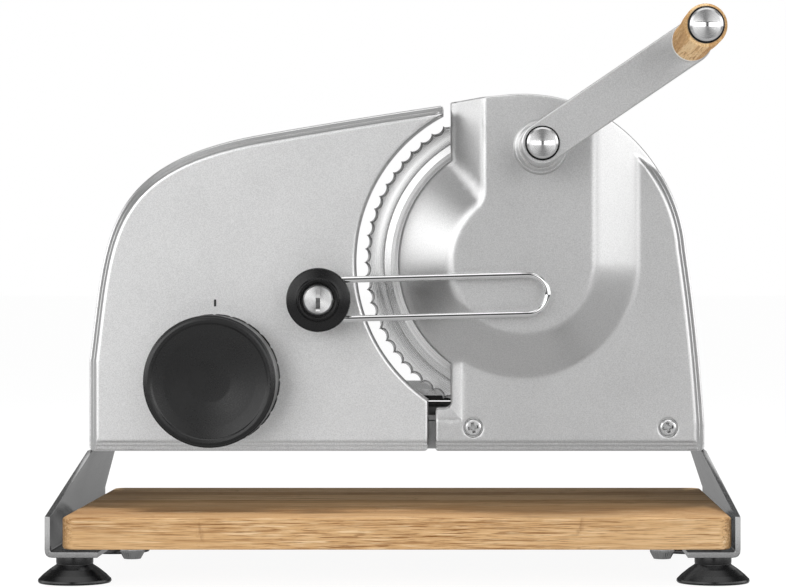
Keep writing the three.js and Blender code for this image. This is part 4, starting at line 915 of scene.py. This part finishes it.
coin_screw("crank_coin_screw", "crank_screw", 0, "crank_unit")
coin_screw("grip_coin_screw", "grip_screw", 0, "grip_unit")
coin_screw("guard_coin_screw", "guard_screw", 90, "guard_unit")


def black_ring(name, node, body):
    low, high = box(node)
    r = (high[0] - low[0]) / 2
    turned(name, [
        (3.3, low[1], 0), (r, low[1], 0.3), (r, high[1], 0.3), (3.3, high[1], 0), (3.3, low[1], 0),
    ], upright(node), black, body, "black_plastic", (node,))


black_ring("crank_ring", "crank_washer", "crank_unit")
black_ring("grip_ring", "grip_screw_washer", "grip_unit")


def cross_screw(name, node):
    """A recessed head with a tapered cross."""
    top, back = span(node)
    x, _, z = middle(node)
    obj = lathe(name, [
        (0, top, 0), (3.5, top + 0.05, 0.4), (4.25, top + 0.6, 0.3), (4.5, top + 1.2, 0.2), (4.5, top + 1.9, 0),
        (2.0, top + 1.9, 0), (2.0, back, 0), (0, back, 0),
    ], (x, 0, z))
    cutters = []
    for turn in (10, 100):
        ends = []
        for y, reach, half in ((top - 0.4, 2.8, 0.82), (top + 2.6, 2.0, 0.62)):
            corners = [spun(u, v, turn) for u, v in ((-reach, -half), (reach, -half), (reach, half), (-reach, half))]
            ends.append([(x + u, y, z + v) for u, v in corners])
        cutters.append(between("cutter", *ends))
    carve(obj, *cutters)
    bevel(obj, 0.1, 2, 35)
    finish_mesh(obj, screw_satin, "stand", (node,), 30)
    # The recess's faces get the near-black steel: painted shade inside the cross.
    line_recess(obj, recess_shade_steel, (x, top, z), 2.9, 0.2, 3.2)


cross_screw("cross_screw_left", "cover_screw_left")
cross_screw("cross_screw_right", "cover_screw_right")

# Thickness knob: a deep cap with a rounded bead round a slightly hollow face, over a grip-marked skirt
front, back = span("gauge_knob")
turned("knob_cap", [
    (0, front + 3.3, 0), (11.0, front + 3.0, 20.0), (24.0, front + 1.7, 20.0), (29.9, front + 0.9, 1.2),
    (30.6, front + 0.25, 0.4), (32.0, front, 0.8), (33.4, front + 0.3, 0.5), (33.75, front + 1.0, 0.2),
    (34.6, front + 1.3, 0.7), (34.6, front + 7.0, 4.0), (33.9, back - 7.0, 4.0), (34.3, back - 0.6, 0.4),
    (33.4, back, 0), (5.4, back, 0), (5.4, back - 16.0, 0), (0, back - 16.0, 0),
], upright("gauge_knob"), knob_black, "knob_unit", "black_plastic", ("gauge_knob",), sides=192)

NOTCHES = 24


def notch_wave(angle, radius, along):
    if radius < 33:
        return radius, along
    wave = (0.5 + 0.5 * math.cos(NOTCHES * angle)) ** 14
    return radius - 0.45 * wave, along


front, back = span("knob_scale_ring")
turned("knob_skirt", [
    (5.4, front, 0), (34.2, front, 0), (34.9, front + 0.6, 0.3), (34.9, back, 0.2), (5.4, back, 0), (5.4, front, 0),
], upright("gauge_knob"), knob_black, "knob_unit", "black_plastic", ("knob_scale_ring",), sides=480, wave=notch_wave)

# The printed index above the knob
MARK_X, MARK_HALF, MARK_LOW, MARK_HIGH = middle("gauge_knob")[0] + 0.2, 0.6, 141.2, 144.9
mark = prism("index_line", [(MARK_X - MARK_HALF, MARK_LOW), (MARK_X + MARK_HALF, MARK_LOW),
                            (MARK_X + MARK_HALF, MARK_HIGH), (MARK_X - MARK_HALF, MARK_HIGH)],
             -PLATE - 0.06, -PLATE + 0.1)
finish_mesh(mark, moulded("black_ink", linear(24, 24, 24), rough=0.6), "gauge_unit")

# Guide wire and its turning boss
WIRE_R, WIRE_SPREAD, WIRE_TILT, WIRE_REACH = 1.65, 10.2, 1.5, 121.3
wire_y = sum(span("guard_wire")) / 2
front, rear = span("guard_disc")
face, back_face = front + 2.0, wire_y + WIRE_R + 1.3
turned("wire_boss", [
    (3.3, face + 2.0, 0), (9.1, face + 2.0, 0.2), (9.3, front, 0.5), (10.8, front, 0.5), (11.2, face - 0.3, 0.8),
    (13.0, face, 0), (16.7, face + 0.5, 1.2), (16.7, back_face, 0.8), (11.0, back_face, 0.3), (11.0, rear, 0.3),
    (3.3, rear, 0), (3.3, face + 2.0, 0),
], upright("guard_disc"), black, "guard_unit", "black_plastic", ("guard_disc",), 35, sides=128)


def wire_path():
    bend = WIRE_REACH - WIRE_SPREAD - WIRE_R
    line = [(7 + (bend - 7) * k / 30, WIRE_SPREAD) for k in range(30)]
    line += arc(bend, 0, WIRE_SPREAD, 90, -90, 40)
    line += [(bend + (7 - bend) * k / 30, -WIRE_SPREAD) for k in range(1, 31)]
    return line


def tube(name, line, radius, y, place, turn, sides=20):
    """A round bar along a line in the plane of that y, turned about the place."""
    pts = np.array(line)
    step = np.gradient(pts, axis=0)
    step /= np.linalg.norm(step, axis=1, keepdims=True)
    verts, faces = [], skin(len(pts), sides)
    for (x, z), (dx, dz) in zip(pts, step):
        for k in range(sides):
            a = 2 * math.pi * k / sides
            u, w = spun(x - dz * radius * math.cos(a), z + dx * radius * math.cos(a), turn)
            verts.append((place[0] + u, y + radius * math.sin(a), place[2] + w))
    faces.append(tuple(range(sides)))
    faces.append(tuple(range((len(pts) - 1) * sides, len(pts) * sides))[::-1])
    return from_arrays(name, verts, faces)


wire = tube("guide_wire", wire_path(), WIRE_R, wire_y, middle("guard_disc"), WIRE_TILT)
finish_mesh(wire, chrome, "guard_unit", ("guard_wire",), 60)

# Crank: the flat arm with its hub, the wooden grip and the pale washer behind it
ARM_R, ARM_LENGTH, ARM_ANGLE = 10.7, 91.5, 34.2
arm_front, arm_back = span("crank_arm")


def arm_outline():
    line = arc(0, 0, ARM_R, 90 + ARM_ANGLE, 270 + ARM_ANGLE, 48)
    line += arc(*spun(ARM_LENGTH, 0, ARM_ANGLE), ARM_R, ARM_ANGLE - 90, ARM_ANGLE + 90, 48)
    return [(crank_centre[0] + x, crank_centre[2] + z) for x, z in line]


arm = prism("crank_plate", arm_outline(), arm_front, arm_front + 6.0)
holes = []
for r, d in ((3.3, 0), (4.3, ARM_LENGTH)):
    u, w = spun(d, 0, ARM_ANGLE)
    ends = [(0, arm_front - 1, 0), (r, arm_front - 1, 0), (r, arm_front + 7, 0), (0, arm_front + 7, 0)]
    holes.append(lathe("cutter", ends, (crank_centre[0] + u, 0, crank_centre[2] + w), sides=48))
carve(arm, *holes)
bevel(arm, 0.75, 4, 40)
finish_mesh(arm, silver_arm, "crank_unit", ("crank_arm",), 30)

turned("crank_hub", [
    (5.4, arm_front + 5.6, 0), (9.9, arm_front + 5.6, 0), (10.0, arm_front + 9.0, 1.0), (10.0, -76.0, 0.6),
    (10.9, -75.0, 0.5), (10.9, arm_back - 0.8, 0.6), (10.2, arm_back, 0.3), (5.4, arm_back, 0),
    (5.4, arm_front + 5.6, 0),
], upright("crank_bush"), silver_arm, "crank_unit", "satin_aluminium", angle=30)

front, back = span("crank_grip")
# The metal in the photo mirrors no brown, so the grip and the board are left out of reflections
grip = turned("wooden_grip", [
    (4.4, front, 0), (9.2, front, 0.5), (10.4, front + 1.6, 1.6), (10.4, front + 30, 60), (9.75, front + 62, 90),
    (10.1, back - 3, 3.0), (8.9, back, 0.8), (4.4, back, 0), (4.4, front, 0),
], upright("crank_grip"), grip_wood, "grip_unit", "bamboo", ("crank_grip",))
grip.visible_glossy = False

front, back = span("grip_washer")
turned("pale_washer", [
    (4.4, front, 0), (9.4, front, 0.5), (10.0, front + 1.0, 0.5), (10.0, back - 0.5, 0.4), (9.5, back, 0.2),
    (4.4, back, 0), (4.4, front, 0),
], upright("crank_grip"), nylon, "grip_unit", "pale_nylon", ("grip_washer",))

# Blade: a dished disc with hollow ground scallops round its edge
TEETH = 72
TOOTH = 2.0
BEVEL_IN, BEVEL_OUT = 74.4, 85.0


def bevel_face(radius):
    """The front bevel's y at a radius: a flat cone from its inner step to the cutting edge."""
    return -2.45 + 1.75 * (radius - BEVEL_IN) / (BEVEL_OUT - BEVEL_IN)


def blade_rim(angle, radius, along):
    """Every ring near the edge follows the scallops, and the rings further in settle to a circle."""
    share = (angle * TEETH / (2 * math.pi)) % 1.0
    bite = TOOTH * math.sin(math.pi * share) ** 0.6
    reach = min(1.0, max(0.0, (radius - 80.0) / 3.4))
    moved = radius - bite * reach
    if along < -0.5 and 78 < radius:
        along = bevel_face(moved)
    return moved, along


turned("round_blade", [
    (8.4, -5.55, 0), (30.0, -5.55, 0), (60.5, -5.55, 2.0), (66.4, -5.46, 1.2),
    (68.5, -4.41, 2.0), (70.6, -3.56, 2.0), (73.2, -3.1, 0.9),
    (74.1, -2.95, 0.15), (74.35, -2.4, 0.1), (BEVEL_IN + 0.4, bevel_face(BEVEL_IN), 0), (78.5, bevel_face(78.5), 0),
    (80.0, bevel_face(80.0), 0), (81.2, bevel_face(81.2), 0), (82.2, bevel_face(82.2), 0),
    (83.3, bevel_face(83.3), 0), (83.75, -0.4, 0), (84.3, -0.24, 0), (85.0, -0.12, 0), (85.0, -0.04, 0),
    (74.3, -1.0, 0), (62.0, -4.0, 3.0), (8.4, -4.0, 0), (8.4, -5.55, 0),
], (0, 0, BLADE_Z), blade_steel, "blade_unit", "bright_steel", ("blade",), 25, sides=TEETH * 12, wave=blade_rim)


# ---------------------------------------------------------------- board, studs and feet

def slab(name, node, corner):
    """A board with rounded corners, in the XY plane."""
    low, high = box(node)
    line = rounded([(low[0], low[1], corner), (high[0], low[1], corner), (high[0], high[1], corner),
                    (low[0], high[1], corner)], 8)
    return between(name, *([(x, y, z) for x, y in line] for z in (low[2], high[2])))


board = slab("bamboo_slab", "board", 7)
bevel(board, 1.6, 5, 40)
finish_mesh(board, board_wood, "board_unit", ("board",), 30)
board.visible_glossy = False
# The legs would darken the dome's lower right, which is light in the photo
for side in ("leg_left", "leg_right"):
    bpy.data.objects[side].visible_glossy = False


def stud_wave(angle, radius, along):
    if radius < 4:
        return radius, along
    return radius - 0.3 * (0.5 + 0.5 * math.cos(30 * angle)), along


for n in range(1, 5):
    low, high = box(f"board_stud_{n}")
    x, y, _ = middle(f"board_stud_{n}")
    a, b = low[2], high[2]
    turned(f"stud_{n}", [
        (0, a + 0.5, 0), (3.0, a + 0.4, 0), (3.6, a, 0.2), (4.3, a, 0.3), (5.3, a + 1.8, 0.4), (6.2, b - 1.6, 0.3),
        (6.3, b, 0.3), (0, b, 0),
    ], (x, y, 0), stud_steel, "board_unit", "chrome", (f"board_stud_{n}",), 20, axis="Z", sides=240, wave=stud_wave)

for n in range(1, 5):
    top = box(f"foot_{n}")[1][2]
    x, y, _ = middle(f"foot_{n}")
    turned(f"rubber_foot_{n}", [
        (0, 2.4, 0), (8.0, 1.9, 6.0), (15.6, 0.1, 1.2), (18.2, 0.02, 0.4), (18.8, 0.9, 0.4), (18.6, 1.9, 0.4),
        (16.2, 4.3, 4.0), (12.6, 7.2, 5.0), (9.6, 9.2, 0.4), (9.3, 9.6, 0.2), (9.5, 10.4, 0.3), (9.5, 14.3, 0.8),
        (3.7, 14.3, 0), (3.7, top - 2.6, 0),
        (6.4, top - 2.6, 0.3), (6.4, top, 0.8), (0, top, 0),
    ], (x, y, 0), rubber, "stand", "black_rubber", (f"foot_{n}",), axis="Z", sides=128)


# ---------------------------------------------------------------- nodes kept from the CAD

for nodes, *look in (
    (("leg_left", "leg_right"), leg_steel, 0.6, 3),
    (("front_rail", "rear_rail"), rail_steel, 0.6),
    (("carriage_bed",), bed_steel, 0.3),
    (("gauge_face",), steel, 0.2),
    (("housing_rear_panel",), silver, 0.5),
    (("gauge_bracket",), rolled, 0.25),
    (("carriage_base", "food_holder", "holder_handle"), black, 0.8, 3),
    (("carriage_table",), carriage_steel, 0.45),
    (("holder_spikes",), rolled, 0.15),
    (("blade_lock",), chrome, 0.3),
    (("blade_gear",), nylon, 0.12),
    (("crank_pinion",), rolled, 0.12),
    (("blade_bush", "crank_bush", "gauge_nut"), brass, 0.12),
    (("blade_axle", "crank_shaft", "grip_spindle", "gauge_spindle", "gauge_pin_1", "gauge_pin_2"), rolled, 0.1),
    ([f"leg_screw_{n}" for n in range(1, 5)] + ["bracket_screw_1", "bracket_screw_2"], chrome, 0.1),
):
    for node in nodes:
        dress(node, *look)


# ---------------------------------------------------------------- floor, light and camera

# Metal mirrors the floor as a glowing table, lighter in front of the object than under it, where the dimmer glow is a
# painted shadow, with a dim room beyond it
TABLE, TABLE_Y = (1.5, 0.5), -0.26
TABLE_FRONT, TABLE_SHADOW = 0.74, 0.46
FAR_FRONT, FAR_BACK = 0.15, 0.36
# The share of the table's half width over which it ends, and where along Y in metres it turns darker under the
# object as a painted shadow, and the room lighter behind it
END_FROM, END_TO = 0.8, 1.2
UNDER_FROM, UNDER_TO = -0.36, -0.22
BACK_FROM, BACK_TO = -0.1, 0.4
# The share of the floor that glows to the camera, so that it stays white round the shadow
FLOOR_GLOW, CAMERA_SHARE, TRANSMISSION_SHARE = 1.1, 0.85, 0.8


def floor_material():
    n = Nodes("pale_floor", grey(0.86), 0.0, 0.9)
    n.fill(n.shader, Specular_IOR_Level=0.0)
    path = n.node("ShaderNodeLightPath").outputs
    glow = n.fill(n.node("ShaderNodeEmission"), Strength=FLOOR_GLOW)
    share = n.times(path["Is Camera Ray"], CAMERA_SHARE)
    share = n.math("MULTIPLY_ADD", path["Is Transmission Ray"], TRANSMISSION_SHARE, share)
    spot = n.node("ShaderNodeVectorMath", operation="MULTIPLY_ADD")
    n.link(n.place, spot.inputs[0])
    spot.inputs[1].default_value = (1 / TABLE[0], 1 / TABLE[1], 0)
    spot.inputs[2].default_value = (0, -TABLE_Y / TABLE[1], 0)
    size = n.node("ShaderNodeVectorMath", operation="LENGTH")
    n.link(spot.outputs[0], size.inputs[0])
    beyond = n.range(size.outputs["Value"], 0.0, 1.0, END_FROM, END_TO, "SMOOTHSTEP")
    depth = n.parts(n.place)[1]
    far = n.range(depth, FAR_FRONT, FAR_BACK, BACK_FROM, BACK_TO, "SMOOTHSTEP")
    # Painted shadow: the table's glow drops under the object.
    near = n.range(depth, TABLE_FRONT, TABLE_SHADOW, UNDER_FROM, UNDER_TO, "SMOOTHSTEP")
    dim = n.fill(n.node("ShaderNodeEmission"), Strength=n.mix(beyond, near, far))

    def either(factor, first, second):
        made = n.node("ShaderNodeMixShader")
        for i, value in enumerate((factor, first, second)):
            n.link(value, made.inputs[i])
        return made.outputs[0]

    table = either(share, n.shader.outputs[0], glow.outputs[0])
    n.fill(n.tree.nodes["Material Output"], Surface=either(path["Is Glossy Ray"], table, dim.outputs[0]))
    return n.material


FLOOR = 40.0
mesh = bpy.data.meshes.new("floor")
mesh.from_pydata([(-FLOOR, -FLOOR, 0), (FLOOR, -FLOOR, 0), (FLOOR, FLOOR, 0), (-FLOOR, FLOOR, 0)], [], [(0, 1, 2, 3)])
floor = added("floor", mesh)
mesh.materials.append(floor_material())

# The room that glossy surfaces show, as soft boxes on a dim level. Each has the axis that it lies on, the side of
# that axis, its centre and half widths in the two other coordinates of the direction, and its light.
ROOM_LEVEL = 0.08
ROOM = (
    (0, -1, (0.16, 0.06), (0.46, 0.42), 1.65),
    (0, 1, (0.07, 0.05), (0.56, 0.47), 2.2),
    (1, -1, (-0.54, 0.12), (0.47, 0.52), 2.38),
    (1, -1, (0.51, 0.12), (0.43, 0.52), 2.08),
    (2, 1, (0.0, -0.2), (0.6, 0.47), 1.4),
    (1, 1, (0.0, 0.43), (0.5, 0.17), 0.9),
)
# What matt surfaces gather: mostly from above and in front, little from the sides and from below
SKY_LEVEL = 0.1
SKY = (
    ((0.0, -0.3, 1.0), 3.0, 0.17),
    ((0.0, -1.0, 0.5), 4.0, 0.3),
)


def room():
    world = bpy.data.worlds.new("room")
    bpy.context.scene.world = world
    world.use_nodes = True
    n = Tree(world.node_tree)
    direction = n.node("ShaderNodeTexCoord").outputs["Generated"]
    split = n.parts(direction)

    def lobes(level, rows):
        total = level
        for towards, narrow, light in rows:
            dot = n.node("ShaderNodeVectorMath", operation="DOT_PRODUCT")
            n.link(direction, dot.inputs[0])
            dot.inputs[1].default_value = Vector(towards).normalized()
            near = n.plus(n.times(dot.outputs["Value"], 0.5), 0.5)
            total = n.plus(n.times(n.math("POWER", near, narrow), light), total)
        return total

    def boxes(level, rows):
        total = level
        for axis, side, centre, half, light in rows:
            part = n.math("GREATER_THAN", n.times(split[axis], side), 0.0)
            others = [k for k in range(3) if k != axis]
            for k, middle_at, reach in zip(others, centre, half):
                away = n.times(n.math("SUBTRACT", split[k], middle_at), 1 / reach)
                square = n.times(away, away)
                fall = n.math("SUBTRACT", 1.0, n.times(square, square))
                part = n.times(part, n.math("MAXIMUM", fall, 0.0))
            total = n.plus(n.times(part, light), total)
        return total

    path = n.node("ShaderNodeLightPath").outputs
    level = n.mix(path["Is Diffuse Ray"], boxes(ROOM_LEVEL, ROOM), lobes(SKY_LEVEL, SKY))
    n.fill(n.tree.nodes["Background"], Color=(1, 1, 1, 1), Strength=n.mix(path["Is Camera Ray"], level, 1.0))


LAMP_AIM = (0, 0, 0.1)


def soft_light(name, place, size, watts):
    data = bpy.data.lights.new(name, "AREA")
    data.shape = "RECTANGLE"
    data.size, data.size_y = size
    data.energy = watts
    lamp = added(name, data)
    lamp.location = place
    lamp.rotation_euler = (Vector(LAMP_AIM) - Vector(place)).to_track_quat("-Z", "Y").to_euler()
    lamp.visible_glossy = False


room()
soft_light("left_light", (-0.8, -1.3, 0.36), (0.6, 0.5), 3.9)
soft_light("right_light", (0.8, -1.3, 0.36), (0.6, 0.5), 3.9)
soft_light("top_light", (0.0, 0.15, 1.75), (0.5, 0.14), 20)

# The photo's size and focal length in pixels, and how far from its middle the camera's axis meets it
PHOTO = (786, 587)
LENS_PIXELS = 2867.6
CENTRE = (480 - PHOTO[0] / 2, 285 - PHOTO[1] / 2)
camera = bpy.data.cameras.new("camera")
camera.sensor_width = 36
camera.lens = LENS_PIXELS / PHOTO[0] * camera.sensor_width
camera.shift_x = -CENTRE[0] / PHOTO[0]
camera.shift_y = CENTRE[1] / PHOTO[0]
camera.clip_end = 60
eye = added("camera", camera)
eye.location = (0.0442, -1.52915, 0.1526)
eye.rotation_euler = (math.pi / 2, 0, 0)
bpy.context.scene.camera = eye
bpy.context.scene.view_settings.view_transform = "Standard"
